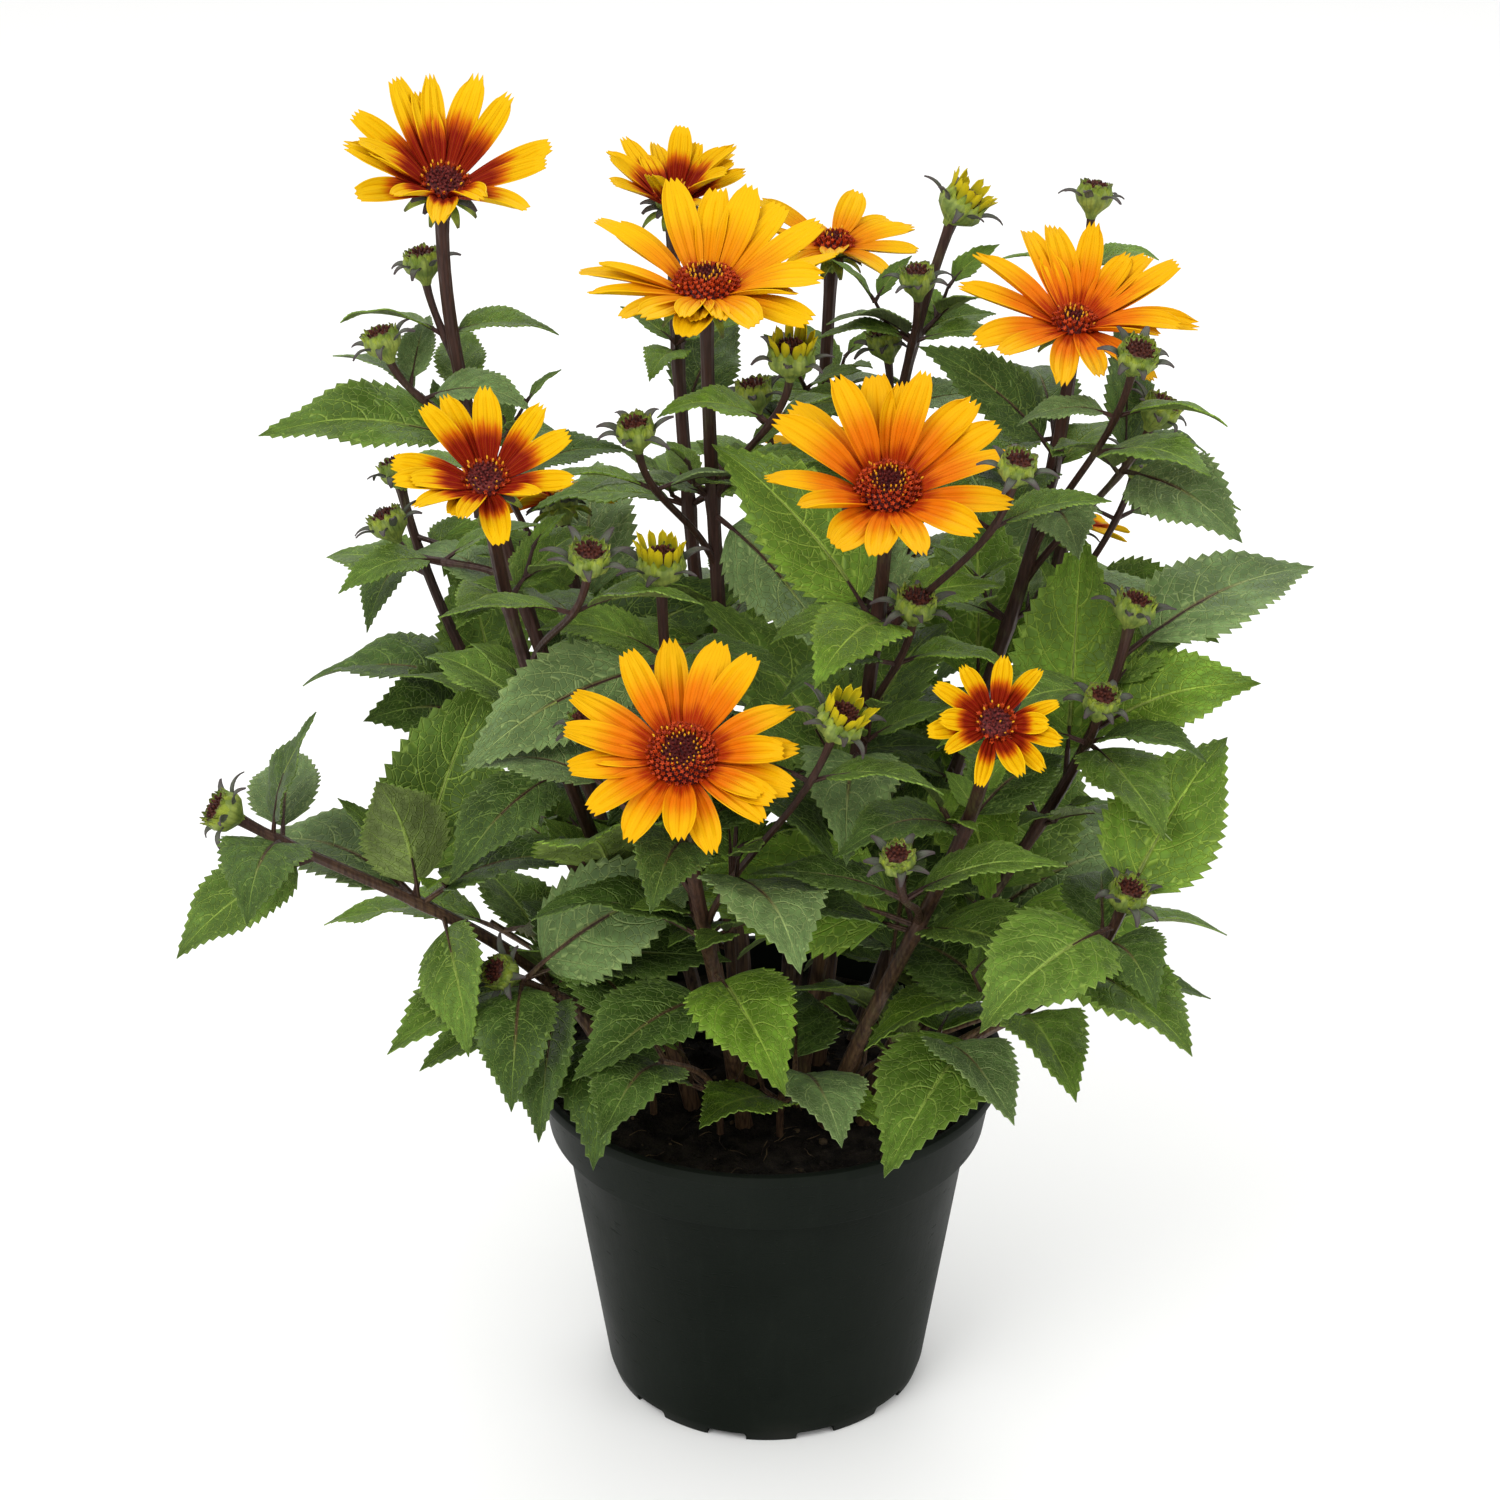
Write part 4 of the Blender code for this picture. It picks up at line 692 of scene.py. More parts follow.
def growStem(room, name, spec, soil):
    tip, axis = Vector(spec.tip), direction(spec.side, 90.0 - spec.lean)
    x, y = tip.x * growth.footSpread, tip.y * growth.footSpread
    steps = (-growth.stem, 0.0, growth.stem)
    ground = max(soilHeight(soil, x + dx, y + dy) for dx in steps for dy in steps)
    foot = Vector((x, y, ground + growth.gap))
    reach = (tip - foot).length
    outward = Vector((tip.x - foot.x, tip.y - foot.y, 0.0))
    start = (Vector((0.0, 0.0, spec.arch)) + outward / reach * growth.stemOut).normalized()
    end = (axis + Vector((0.0, 0.0, spec.upright))).normalized()
    controls = foot, foot + start * reach * growth.stemStart, tip - end * reach * growth.stemEnd, tip
    samples = curvePoints(controls, 0.0, 1.0, growth.samples)
    entry = next(k for k, point in enumerate(samples) if point.z > spec.entry) / growth.samples
    step = growth.gap / reach
    neck = growth.neck if spec.head == "flower" else growth.twig * growth.twigNeck
    middle = growth.stem + (neck - growth.stem) * entry
    path = curvePoints(controls, 0.0, entry - step, growth.stemSteps)
    path[0].z = foot.z
    radii = between(growth.stem, middle, growth.stemSteps)
    radii[0] *= growth.footFlare
    points, faces = roomOfTube(path, radii, growth.stemSides)
    for point in points[:growth.stemSides]:
        point.z = path[0].z
    room.add(f"stem_{name}", (points, faces))
    upper = curvePoints(controls, entry + step, 1.0, growth.axisSteps)
    radii = between(middle, neck, growth.axisSteps)
    room.add(f"crown_{name}", roomOfTube(upper, radii, growth.axisSides))
    return Settings(
        node=f"crown_{name}", key=name, controls=controls, first=entry, tip=tip, axis=axis, spec=spec,
        radii=(growth.stem, middle, neck),
    )


def growSideShoot(room, parent, number, spec):
    fork = bezier(parent.controls, spec.fork)
    along = (bezier(parent.controls, spec.fork + 0.02) - fork).normalized()
    tip, axis = Vector(spec.tip), direction(spec.side, 90.0 - spec.lean)
    reach = (tip - fork).length
    start = ((tip - fork).normalized() + along * growth.sideUpright).normalized()
    end = (axis + Vector((0.0, 0.0, growth.sideUpright))).normalized()
    steps, sides = growth.twigSteps, growth.twigSides
    radii = tapering(growth.twig, growth.sideTaper, steps)
    wide = [radius + growth.clearance for radius in radii]
    bows = [Vector((0.0, 0.0, 0.0))]
    bows += [direction(45.0 * k, 0.0) * size for size in growth.bows for k in range(8)]
    for bow in bows:
        first, second = fork + start * reach * growth.sideStart + bow, tip - end * reach * growth.sideEnd + bow
        controls = fork, first, second, tip
        path = curvePoints(controls, 0.0, 1.0, steps)
        if not room.clashes(roomOfTube(path, wide, sides), own=parent.node):
            room.add(parent.node, roomOfTube(path, radii, sides))
            return Settings(
                node=parent.node, key=f"{parent.key}{number}", controls=controls, first=0.0, tip=tip, axis=axis,
                spec=spec, radii=[growth.twig * share for share in (1.25, 1.12, 1.0)],
            )


def growLowShoot(room, name, spec, soil):
    steps, sides = growth.twigSteps, growth.twigSides
    radii = tapering(growth.twig, growth.lowTaper, steps)
    wide = [radius + growth.clearance for radius in radii]
    for swing in growth.lowSwings:
        azimuth = spec.azimuth + swing
        outward = direction(azimuth, 0.0)
        foot = outward * spec.reach * growth.lowFoot
        foot.z = soilHeight(soil, foot.x, foot.y) + 2 * growth.gap
        tip = outward * spec.reach
        tip.z = foot.z + spec.rise
        axis = direction(azimuth, growth.lowTipRise)
        lift = Vector((0.0, 0.0, spec.rise * 0.5))
        controls = foot, foot + lift, tip - axis * spec.reach * growth.lowTip, tip
        path = curvePoints(controls, 0.0, 1.0, steps)
        if not room.clashes(roomOfTube(path, wide, sides), own="soil"):
            break
    points, faces = roomOfTube(path, radii, sides)
    for point in points[:sides]:
        point.z = foot.z
    room.add(name, (points, faces))
    return Settings(
        node=name, key=name, controls=controls, first=0.0, tip=tip, axis=axis,
        spec=Settings(spec, bare=growth.lowestPair, turn=azimuth),
        radii=[growth.twig * share for share in (1.4, 1.15, 0.9)],
    )


def leafPlaces(shoot):  # the pairs of a shoot from its head down
    count = growth.samples
    samples = curvePoints(shoot.controls, 0.0, 1.0, count)
    lengths = [0.0]
    for before, after in zip(samples, samples[1:]):
        lengths.append(lengths[-1] + (after - before).length)
    at = lengths[-1] - shoot.spec.get("bare", growth.topPair)
    first, more, last = growth.pairStep
    places = []
    while at > shoot.first * lengths[-1] + growth.lowestPair:
        places.append(next(k for k, length in enumerate(lengths) if length >= at) / count)
        at -= growth.internode * (first + more * min(len(places) - 1, last))
    return places


def leafSize(height, pair, low):
    begin, end = growth.tipHeights
    share = min(max((height - begin) / (end - begin), 0.0), 1.0)
    youngest, gain = growth.lowLeafShares if low else growth.leafShares
    return growth.leafLength * (1.0 - growth.tipShare * share) * min(youngest + gain * pair, 1.0)


def tryLeaf(room, leaves, shoot, place):
    node, grow = shoot.node, growth.clearance
    trueLeaf, wide = roomOfLeaf(*place), roomOfLeaf(*place, grow=grow)
    if outsideCrown(wide) or room.clashes(wide, own=node) or room.clashes(trueLeaf, own=node):
        return False
    if room.clashes(roomOfLeaf(*place, grow=grow, stalk=False)) or room.clashes(roomOfLeaf(*place, stalk=False)):
        return False
    room.add(node, trueLeaf)
    leaves.append((shoot, place))
    return True


def pairTurn(shoot, pair, hand):
    return shoot.spec.get("turn", 0.0) + 90.0 * pair + 180.0 * hand


def growLeaf(room, leaves, shoot, share, pair, hand):
    rng = random.Random(f"{shoot.key} {pair} {hand}")
    root = bezier(shoot.controls, share)
    turn = pairTurn(shoot, pair, hand) + rng.uniform(-growth.turn, growth.turn)
    size = leafSize(root.z, pair, shoot.node.startswith("low")) * rng.uniform(*growth.spread)
    rise, droop = rng.uniform(*growth.rise), rng.uniform(*growth.droop)
    roll = rng.uniform(-growth.roll, growth.roll)
    for scale in growth.scales:
        for lift in growth.lifts:
            for swing in growth.swings:
                if tryLeaf(room, leaves, shoot, (root, turn + swing, rise + lift, droop, roll, size * scale)):
                    return


def growOuterLeaf(room, leaves, shoot, at, azimuth, rise, roll, length):
    root, droop = bezier(shoot.controls, at), growth.outerDroop
    for scale in growth.outerScales:
        for lift in growth.outerLifts:
            for swing in growth.outerSwings:
                place = root, azimuth + swing, rise + droop / 2 + lift, droop, roll, length * scale
                if tryLeaf(room, leaves, shoot, place):
                    return


def growFineTwig(room, heads, leaves, twigs, shoot, share, pair, hand):
    # a short twig in the axil of a leaf, with two pairs of small leaves, that stays under its shoot's head
    f = fineTwig
    rng = random.Random(f"fine {shoot.key} {pair} {hand}")
    root = bezier(shoot.controls, share)
    top = shoot.tip.z - (f.underFlower if shoot.spec.get("head") == "flower" else 0.0)
    if "head" in shoot.spec and root.z > shoot.tip.z - f.bareTop:
        return
    azimuth = pairTurn(shoot, pair, hand) + rng.uniform(-f.turn, f.turn)
    length, rise = rng.uniform(*f.length), rng.uniform(*f.rise)
    for swing in f.swings:
        middle = root + direction(azimuth + swing, rise - 20.0) * length * 0.5
        tip = middle + direction(azimuth + swing, rise + 10.0) * length * 0.5
        near = min((point - tip).length - reach for point, reach in heads)
        tube = roomOfTube([root, middle, tip], [f.radius * 1.5] * 3, 4)
        if near > 0.0 and not room.clashes(tube, own=shoot.node):
            break
    else:
        return
    grown = []
    for at, turn, size, steep in f.pairs:
        for side in (0.0, 180.0):
            long = rng.uniform(*(f.lowLeaf if root.z < f.lowUnder else f.leaf)) * size
            away = azimuth + swing + turn + side + rng.uniform(-15, 15)
            place = ((middle, tip)[at], away, rng.uniform(*f.leafRise) + steep, rng.uniform(*f.leafDroop),
                     rng.uniform(-20, 20), long)
            trueLeaf, blade = roomOfLeaf(*place), roomOfLeaf(*place, stalk=False)
            if outsideCrown(trueLeaf) or max(point.z for point in blade[0]) > top:
                continue
            if room.clashes(blade) or room.clashes(trueLeaf, own=shoot.node):
                continue
            room.add(shoot.node, blade)
            grown.append((shoot, place))
    if grown:
        leaves += grown
        twigs.append((shoot.node, [root, root.lerp(middle, 0.5), middle, middle.lerp(tip, 0.5), tip]))


def nodeShape(name):
    mesh = cadNodes[name].data
    return [vertex.co.copy() for vertex in mesh.vertices], [tuple(face.vertices) for face in mesh.polygons]


def growPlant():
    room = Room()
    for name in ("pot", "soil"):
        room.add(name, nodeShape(name))
    soil = room.taken[1][3]
    shoots = [growStem(room, name, spec, soil) for name, spec in stems.items()]
    axes = {shoot.key: shoot for shoot in shoots}
    counts = dict.fromkeys(stems, 0)
    for row in sideShoots:
        counts[row[0]] += 1
        shoots.append(growSideShoot(room, axes[row[0]], counts[row[0]], Settings(zip(sideFields, row))))
    shoots = [shoot for shoot in shoots if shoot]
    for number, row in enumerate(lowShoots, 1):
        shoots.append(growLowShoot(room, f"low_{number:02d}", Settings(zip(lowFields, row)), soil))
    bud, root = growth.bud, (-0.003, growth.twig * 0.9)
    profiles = {
        "bud": (root, (0.0030, bud * 1.5), (0.0085, bud * 0.9)),
        "opening": (root, (0.0035, bud * 1.7), (0.0060, bud * 1.1), (0.0165, bud * 1.3)),
    }
    topped = [shoot for shoot in shoots if "head" in shoot.spec]
    for shoot in topped:
        if shoot.spec.head == "flower":
            room.add(shoot.node, roomOfFlower(shoot.node, shoot.tip, shoot.axis, shoot.spec))
        else:
            room.add(shoot.node, roomOfBud(shoot.tip, shoot.axis, profiles[shoot.spec.head]))
    named = {shoot.key: shoot for shoot in shoots}
    leaves, small, twigs = [], [], []
    for key, *place in outerLeaves:
        growOuterLeaf(room, leaves, named[key], *place)
    places = [(pair, shoot, share) for shoot in shoots for pair, share in enumerate(leafPlaces(shoot))]
    places.sort(key=lambda place: place[0])
    places = [(shoot, share, pair, hand) for pair, shoot, share in places for hand in (0, 1)]
    for place in places:
        growLeaf(room, leaves, *place)
    heads = [(shoot.tip, shoot.spec.get("breadth", fineTwig.nearBud) / 2) for shoot in topped]
    for place in places:
        growFineTwig(room, heads, small, twigs, *place)
    return shoots, leaves, small, twigs


# Pieces are put together from flat grids, each bent into a leaf, petal, bract or limb
grids = {}


def newGrid(name, across, along):  # x from -1 to 1 and y from 0 to 1, with a map to match
    bm = bmesh.new()
    bm.loops.layers.uv.new("grain")
    bmesh.ops.create_grid(bm, x_segments=across, y_segments=along, size=1.0, calc_uvs=True)
    bmesh.ops.translate(bm, vec=(0.0, 1.0, 0.0), verts=bm.verts)
    bmesh.ops.scale(bm, vec=(1.0, 0.5, 1.0), verts=bm.verts)
    for face in bm.faces:
        face.smooth = True
    return newMesh(name, bm)


def addCopy(bm, copy, paint):
    copy.polygons.foreach_set("material_index", np.full(len(copy.polygons), paint, np.int32))
    bm.from_mesh(copy)
    bpy.data.meshes.remove(copy)


def stamp(bm, across, along, bend, paint=0):
    # adds a grid to the piece, with each point where bend(x, y) puts it
    key = (across, along)
    if key not in grids:
        grids[key] = newGrid(f"grid{across}x{along}", across, along)
    copy = grids[key].copy()
    flat = np.empty(len(copy.vertices) * 3)
    copy.vertices.foreach_get("co", flat)
    flat = flat.reshape(-1, 3)
    copy.vertices.foreach_set("co", bend(flat[:, 0], flat[:, 1]).astype(np.float32).ravel())
    addCopy(bm, copy, paint)


def stampMesh(bm, mesh, place, paint):
    # adds a copy of a small mesh, moved by a matrix
    copy = mesh.copy()
    copy.transform(place)
    addCopy(bm, copy, paint)


def newPiece(name, bm, paints, nodes, thickness=0.0, backs=0, sharp=50.0):
    # closes the piece, gives sheets their thickness and hands it to the frame
    bmesh.ops.remove_doubles(bm, verts=bm.verts, dist=1e-6)
    if not thickness:
        bmesh.ops.holes_fill(bm, edges=[edge for edge in bm.edges if edge.is_boundary], sides=0)
        bmesh.ops.recalc_face_normals(bm, faces=bm.faces)
    piece = newObject(name, newMesh(name, bm))
    for paint in paints:
        piece.data.materials.append(paint)
    if thickness:
        wall = piece.modifiers.new("thickness", "SOLIDIFY")
        wall.thickness, wall.offset, wall.material_offset = thickness, -1.0, backs
        applyModifiers(piece)
    piece.data.set_sharp_from_angle(angle=math.radians(sharp))
    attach(piece, "root")
    if nodes:
        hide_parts(*nodes)


def arrayOf(vectors):
    return np.array([tuple(vector) for vector in vectors])


def share01(amount):
    return np.clip(amount, 0.0, 1.0)


def roundGrid(x, y, steps):  # each point's row and turn, where a grid is bent round an axis
    return np.rint(y * steps).astype(int), math.pi * (x + 1.0)


def limb(bm, path, radii, sides, ridge=0.0, ribs=5, paint=0):
    # a ridged limb along a path
    centres, radii, steps = arrayOf(path), np.array(radii), len(path) - 1
    first, second = (arrayOf(column) for column in zip(*framesAlong(path)))

    def bend(x, y):
        row, turn = roundGrid(x, y, steps)
        reach = radii[row] * (1.0 + ridge * np.cos(ribs * turn))
        aside = np.cos(turn)[:, None] * first[row] + np.sin(turn)[:, None] * second[row]
        return centres[row] + reach[:, None] * aside

    stamp(bm, sides, steps, bend, paint)


# Leaves
leafLook = Settings(
    large=(8, 16, 8, 6), small=(4, 7, 4, 5),  # points across, teeth, and the midrib's steps and sides
    tooth=0.036, toothLean=0.7, slim=(1.06, 0.90), slimAbove=0.30, fold=(12.0, 26.0), quilt=0.0009, wave=0.0016,
    twist=16.0, bow=0.05, sheet=0.00045,
    tints={  # share of the leaves, gain below and above the turning height, share of the midrib that is brown
        "deep": (0.26, 1.6, 0.7, 0.50), "mid": (0.32, 1.0, 1.0, 0.25), "fresh": (0.20, 1.1, 0.6, 0.13),
        "grey": (0.21, 0.3, 1.2, 0.50), "bronze": (0.01, 1.0, 1.0, 0.75),
    },
    turningHeight=0.24, freshShare=0.55, ribReach=0.86, ribTaper=(0.72, 0.60), stalkTaper=(1.35, 1.05, 1.0, 0.9),
)
tints = list(leafLook.tints)


def leafBend(place, rng, rows):
    look = leafLook
    root, azimuth, rise, droop, roll, length = place
    slim = look.slim[1 if root.z > look.slimAbove else 0] * rng.uniform(0.96, 1.06)
    base, ahead, level = arrayOf((
        root + direction(azimuth, rise) * growth.petiole * length / growth.leafLength, direction(azimuth, 0.0),
        direction(azimuth + 90.0, 0.0),
    ))
    upright = np.array((0.0, 0.0, 1.0))
    start, bent = math.radians(rise), math.radians(droop)
    fold = math.radians(rng.uniform(*look.fold))
    twist = rng.uniform(-1.0, 1.0) * look.twist
    bow = rng.uniform(-1.0, 1.0) * look.bow * length
    phase = [rng.uniform(0.0, 6.3) for k in range(3)]
    quilt = look.quilt * length / growth.leafLength
    wave = look.wave * length / growth.leafLength * rng.uniform(0.5, 1.3)

    def bend(x, y):
        row, side = np.rint(y * rows).astype(int), np.abs(x)
        tooth = (side > 0.99) & (row % 2 == 1) & (row > 2) & (row < rows - 1)
        y = y + np.where(tooth, look.toothLean / rows, 0.0)
        outline = np.sin(math.pi * share01(y) ** 0.62) * (1.0 - 0.30 * share01((y - 0.66) / 0.34))
        half = growth.leafBreadth * slim * length / 2 * outline
        half = np.maximum(half, growth.petioleRadius * (1.0 - y))
        jag = look.tooth * length * (0.45 + 0.55 * outline)
        out = -x * half + np.where(tooth, -np.sign(x) * jag, 0.0)
        rise = np.tan(fold) * side * half * (1.0 - 0.42 * side)
        course = leafPaint.pairs * y - leafPaint.lean * side ** leafPaint.arc + 0.16 * np.sign(x)
        rise += quilt * outline * np.sin(fullTurn * course) * np.sin(math.pi * side)
        rise += wave * side**2 * np.sin(fullTurn * 2.1 * y + phase[0] + x * 1.2) * np.sin(math.pi * y)
        rise += wave * 0.7 * np.sin(fullTurn * 1.1 * y + phase[1]) * y
        angle = start - bent * y
        forward = (math.sin(start) - np.sin(angle)) / bent * length
        height = (np.cos(angle) - math.cos(start)) / bent * length
        turn = np.radians(roll + twist * y)
        normal = -np.sin(angle)[:, None] * ahead + np.cos(angle)[:, None] * upright
        sideways = np.cos(turn)[:, None] * level + np.sin(turn)[:, None] * normal
        normal = np.cos(turn)[:, None] * normal - np.sin(turn)[:, None] * level
        middle = base + forward[:, None] * ahead + height[:, None] * upright + (bow * y**2)[:, None] * level
        return middle + (out * math.cos(fold))[:, None] * sideways + rise[:, None] * normal

    return bend


def pickTint(rng, height, small):  # lower leaves are deeper, upper ones greyer, small ones fresh
    if small:
        return tints.index("fresh" if rng.random() < leafLook.freshShare else "mid")
    column = 1 if height < leafLook.turningHeight else 2
    return rng.choices(range(len(tints)), [row[0] * row[column] for row in leafLook.tints.values()])[0]


def addLeaf(bm, twigs, place, rng, small):
    tint, look = pickTint(rng, place[0].z, small), leafLook
    across, teeth, steps, sides = look.small if small else look.large
    bend = leafBend(place, rng, 2 * teeth + 2)
    stamp(bm, across, 2 * teeth + 2, bend, tint)
    line = [Vector(point) for point in bend(np.zeros(steps + 1), np.linspace(0.0, look.ribReach, steps + 1))]
    root, foot = place[0], line[0]
    thick = growth.petioleRadius * (0.7 + 0.4 * place[5] / growth.leafLength)
    stalk = [root, root.lerp(foot, 0.3), root.lerp(foot, 0.7), foot]
    path = stalk + [point + Vector((0.0, 0.0, -look.sheet * 0.6)) for point in line[1:]]
    radii = [thick * share for share in look.stalkTaper] + tapering(thick, look.ribTaper, steps)[1:]
    brown = len(stalk) + round(look.tints[tints[tint]][3] * steps)  # the rest of the midrib is pale
    limb(twigs, path[:brown], radii[:brown], sides, 0.08, 3)
    limb(twigs, path[brown - 1:], radii[brown - 1:], sides, 0.08, 3, 1)


# Stems: each pair of values is for a main stem and for the other shoots
stemLook = Settings(
    steps=(44, 22), sides=(20, 12), ribs=(7, 5), slim=(0.90, 0.80), ridge=0.055, flareShare=0.06,
    swell=0.22, swellLength=0.0035, headSwell=0.55, headSwellLength=0.006,
)


def stemRadii(shoot, shares, slim):
    look, entry = stemLook, shoot.first
    low, middle, neck = shoot.radii
    total = (shoot.controls[3] - shoot.controls[0]).length
    pairs, radii = leafPlaces(shoot), []
    for share in shares:
        if share < entry:
            radius = low + (middle - low) * share / entry
            radius *= 1.0 + (growth.footFlare - 1.0) * max(0.0, 1.0 - share / look.flareShare)
        else:
            radius = middle + (neck - middle) * (share - entry) / (1.0 - entry)
        radius *= slim
        for pair in pairs:
            radius *= 1.0 + look.swell * math.exp(-((share - pair) * total / look.swellLength) ** 2)
        if "head" in shoot.spec:
            radius *= 1.0 + look.headSwell * math.exp((share - 1.0) * total / look.headSwellLength)
        radii.append(radius)
    return radii


def addStem(stalk, twigs, shoot):
    # the stalk runs to the foot of the mass, and the rest is one of the mass's twigs
    kind = 0 if shoot.key in stems else 1
    steps, sides, ribs, slim = (stemLook[key][kind] for key in ("steps", "sides", "ribs", "slim"))
    path = curvePoints(shoot.controls, 0.0, 1.0, steps)
    radii = stemRadii(shoot, between(0.0, 1.0, steps), slim)
    split = round(shoot.first * steps)
    if split:
        limb(stalk, path[:split + 1], radii[:split + 1], sides, stemLook.ridge, ribs)
    limb(twigs, path[split:], radii[split:], sides, stemLook.ridge, ribs)


# Heads: cups, bracts, petals and florets
headLook = Settings(
    petalGrid=(6, 14), groove=0.00052, petalSheet=0.00035, pitch=11.0, roll=26.0, yaw=6.0, curve=(2.0, 34.0),
    teeth=(0.036, 0.026, 0.044, -0.026, -0.018), bractGrid=(4, 7), scaleGrid=(4, 4), rayGrid=(4, 8),
    floretGap=0.00138, spiral=2.39996, pollenShares=(0.92, 0.07),
    stages={  # from where a disc's florets are open, and the ring that has pollen
        "ripe": (0.56, (0.36, 0.58)), "dark": (0.80, (0.72, 0.86)), "young": (1.0, None),
    },
    bractRings=((9, 0.92, 4.0), (8, 1.08, -22.0)),  # number, length and lean of a flower's bracts
    budBracts=7, budScales=13, longer={"b": 1.06, "g": 1.07, "p": 0.76, "r": 0.70},
    upright={"b": 15.0, "d": 17.0, "f": 18.0, "g": 12.0, "h": 15.0, "i": 14.0, "p": -24.0, "r": -22.0},
    nearShort={"h": 0.20},
    floretSlots={kind: number for number, kind in enumerate(floretPaint, 3)},
)


def headFrame(base, axis, spin=0.0):
    across = axis.orthogonal().normalized()
    turn = Matrix((across, axis.cross(across), axis)).transposed().to_4x4()
    return Matrix.Translation(base) @ turn @ Matrix.Rotation(spin, 4, "Z")


def toWorld(place, *local):
    matrix = np.array(place)
    return np.stack(local, axis=1) @ matrix[:3, :3].T + matrix[:3, 3]


def addStrap(
    bm, grid, place, angle, radius, height, length, width, start, end, outline, roll=0.0, hollow=0.0, groove=0.0,
    teeth=0.0, sway=0.0, paint=0,
):
    # a petal, ray or bract that leaves the axis at radius and height, rising at start degrees
    # above the flat at its foot and at end degrees at its tip
    first, change = math.radians(start), math.radians(end - start) or 1e-4

    def bend(x, y):
        tip = y + (teeth * np.cos(3 * math.pi * x) - 0.7 * abs(teeth) * x**2) * y**9
        half = width / 2 * outline(share01(y))
        across = -x * half
        depth = groove * np.sin(math.pi * share01(y)) ** 0.5
        lift = hollow * half * x**2 - depth * np.cos(3 * math.pi * x)
        slope = first + change * tip
        out = radius + (np.sin(slope) - math.sin(first)) / change * length
        rise = height - (np.cos(slope) - math.cos(first)) / change * length
        twist = math.radians(roll) * y
        side = across * np.cos(twist) - lift * np.sin(twist) + sway * y**2 * length
        off = across * np.sin(twist) + lift * np.cos(twist)
        reach = out - off * np.sin(slope)
        return toWorld(
            place, reach * math.cos(angle) - side * math.sin(angle), reach * math.sin(angle) + side * math.cos(angle),
            rise + off * np.cos(slope),
        )

    stamp(bm, *grid, bend, paint)


def petalOutline(y):  # widest past the middle, then drawn in to a blunt tip
    foot = 0.40 + 0.60 * np.sin(math.pi / 2 * share01(y / 0.58))
    return foot * (1.0 - 0.48 * share01((y - 0.60) / 0.40) ** 2.3)


def bractOutline(y):
    return np.sin(math.pi * (0.14 + 0.80 * y) ** 0.8) * (1.0 - 0.25 * y) + 0.10


def scaleOutline(y):
    return np.clip(1.0 - y**1.8, 0.02, 1.0)


def rayOutline(y):
    return np.clip(0.75 + 0.25 * np.sin(math.pi * y) - 0.55 * share01((y - 0.8) / 0.2) ** 2, 0.1, 1.0)


def addCup(bm, place, profile, ribs, depth, paint, sides=30):
    # a turned cup with soft ribs, from pairs of height and radius
    heights, radii = np.array(profile).T
    steps = len(profile) - 1

    def bend(x, y):
        row, turn = roundGrid(x, y, steps)
        reach = radii[row] * (1.0 + depth * np.cos(ribs * turn) * np.sin(math.pi * y))
        return toWorld(place, reach * np.cos(turn), reach * np.sin(turn), heights[row])

    stamp(bm, sides, steps, bend, paint)


def newFloret(kind):
    # an open floret is a small five-pointed tube, a closed one a pointed grain
    isOpen = kind == "open"
    segments, foot, top, tall = (10, 0.30, 0.42, 1.0) if isOpen else (6, 0.34, 0.46, 0.7)
    bm = bmesh.new()
    bm.loops.layers.uv.new("grain")
    bmesh.ops.create_cone(
        bm, cap_ends=not isOpen, segments=segments, radius1=foot, radius2=top, depth=tall, calc_uvs=True)
    bmesh.ops.translate(bm, vec=(0.0, 0.0, tall / 2), verts=bm.verts)
    if isOpen:
        rim = [vertex for vertex in bm.verts if vertex.co.z > 0.9]
        rim.sort(key=lambda vertex: math.atan2(vertex.co.y, vertex.co.x))
        for number, vertex in enumerate(rim):
            spread, height = (0.80, 0.92) if number % 2 else (1.55, 1.12)
            vertex.co = Vector((vertex.co.x * spread, vertex.co.y * spread, height))
        bmesh.ops.holes_fill(bm, edges=[edge for edge in bm.edges if edge.is_boundary], sides=0)
        caps = [face for face in bm.faces if len(face.verts) == segments and face.calc_center_median().z > 0.5]
        bmesh.ops.poke(bm, faces=caps[:1], offset=-0.4)
    else:
        caps = [face for face in bm.faces if face.calc_center_median().z > 0.69]
        bmesh.ops.poke(bm, faces=caps, offset=0.45)
    for face in bm.faces:
        face.smooth = True
    return newMesh(f"floret_{kind}", bm)


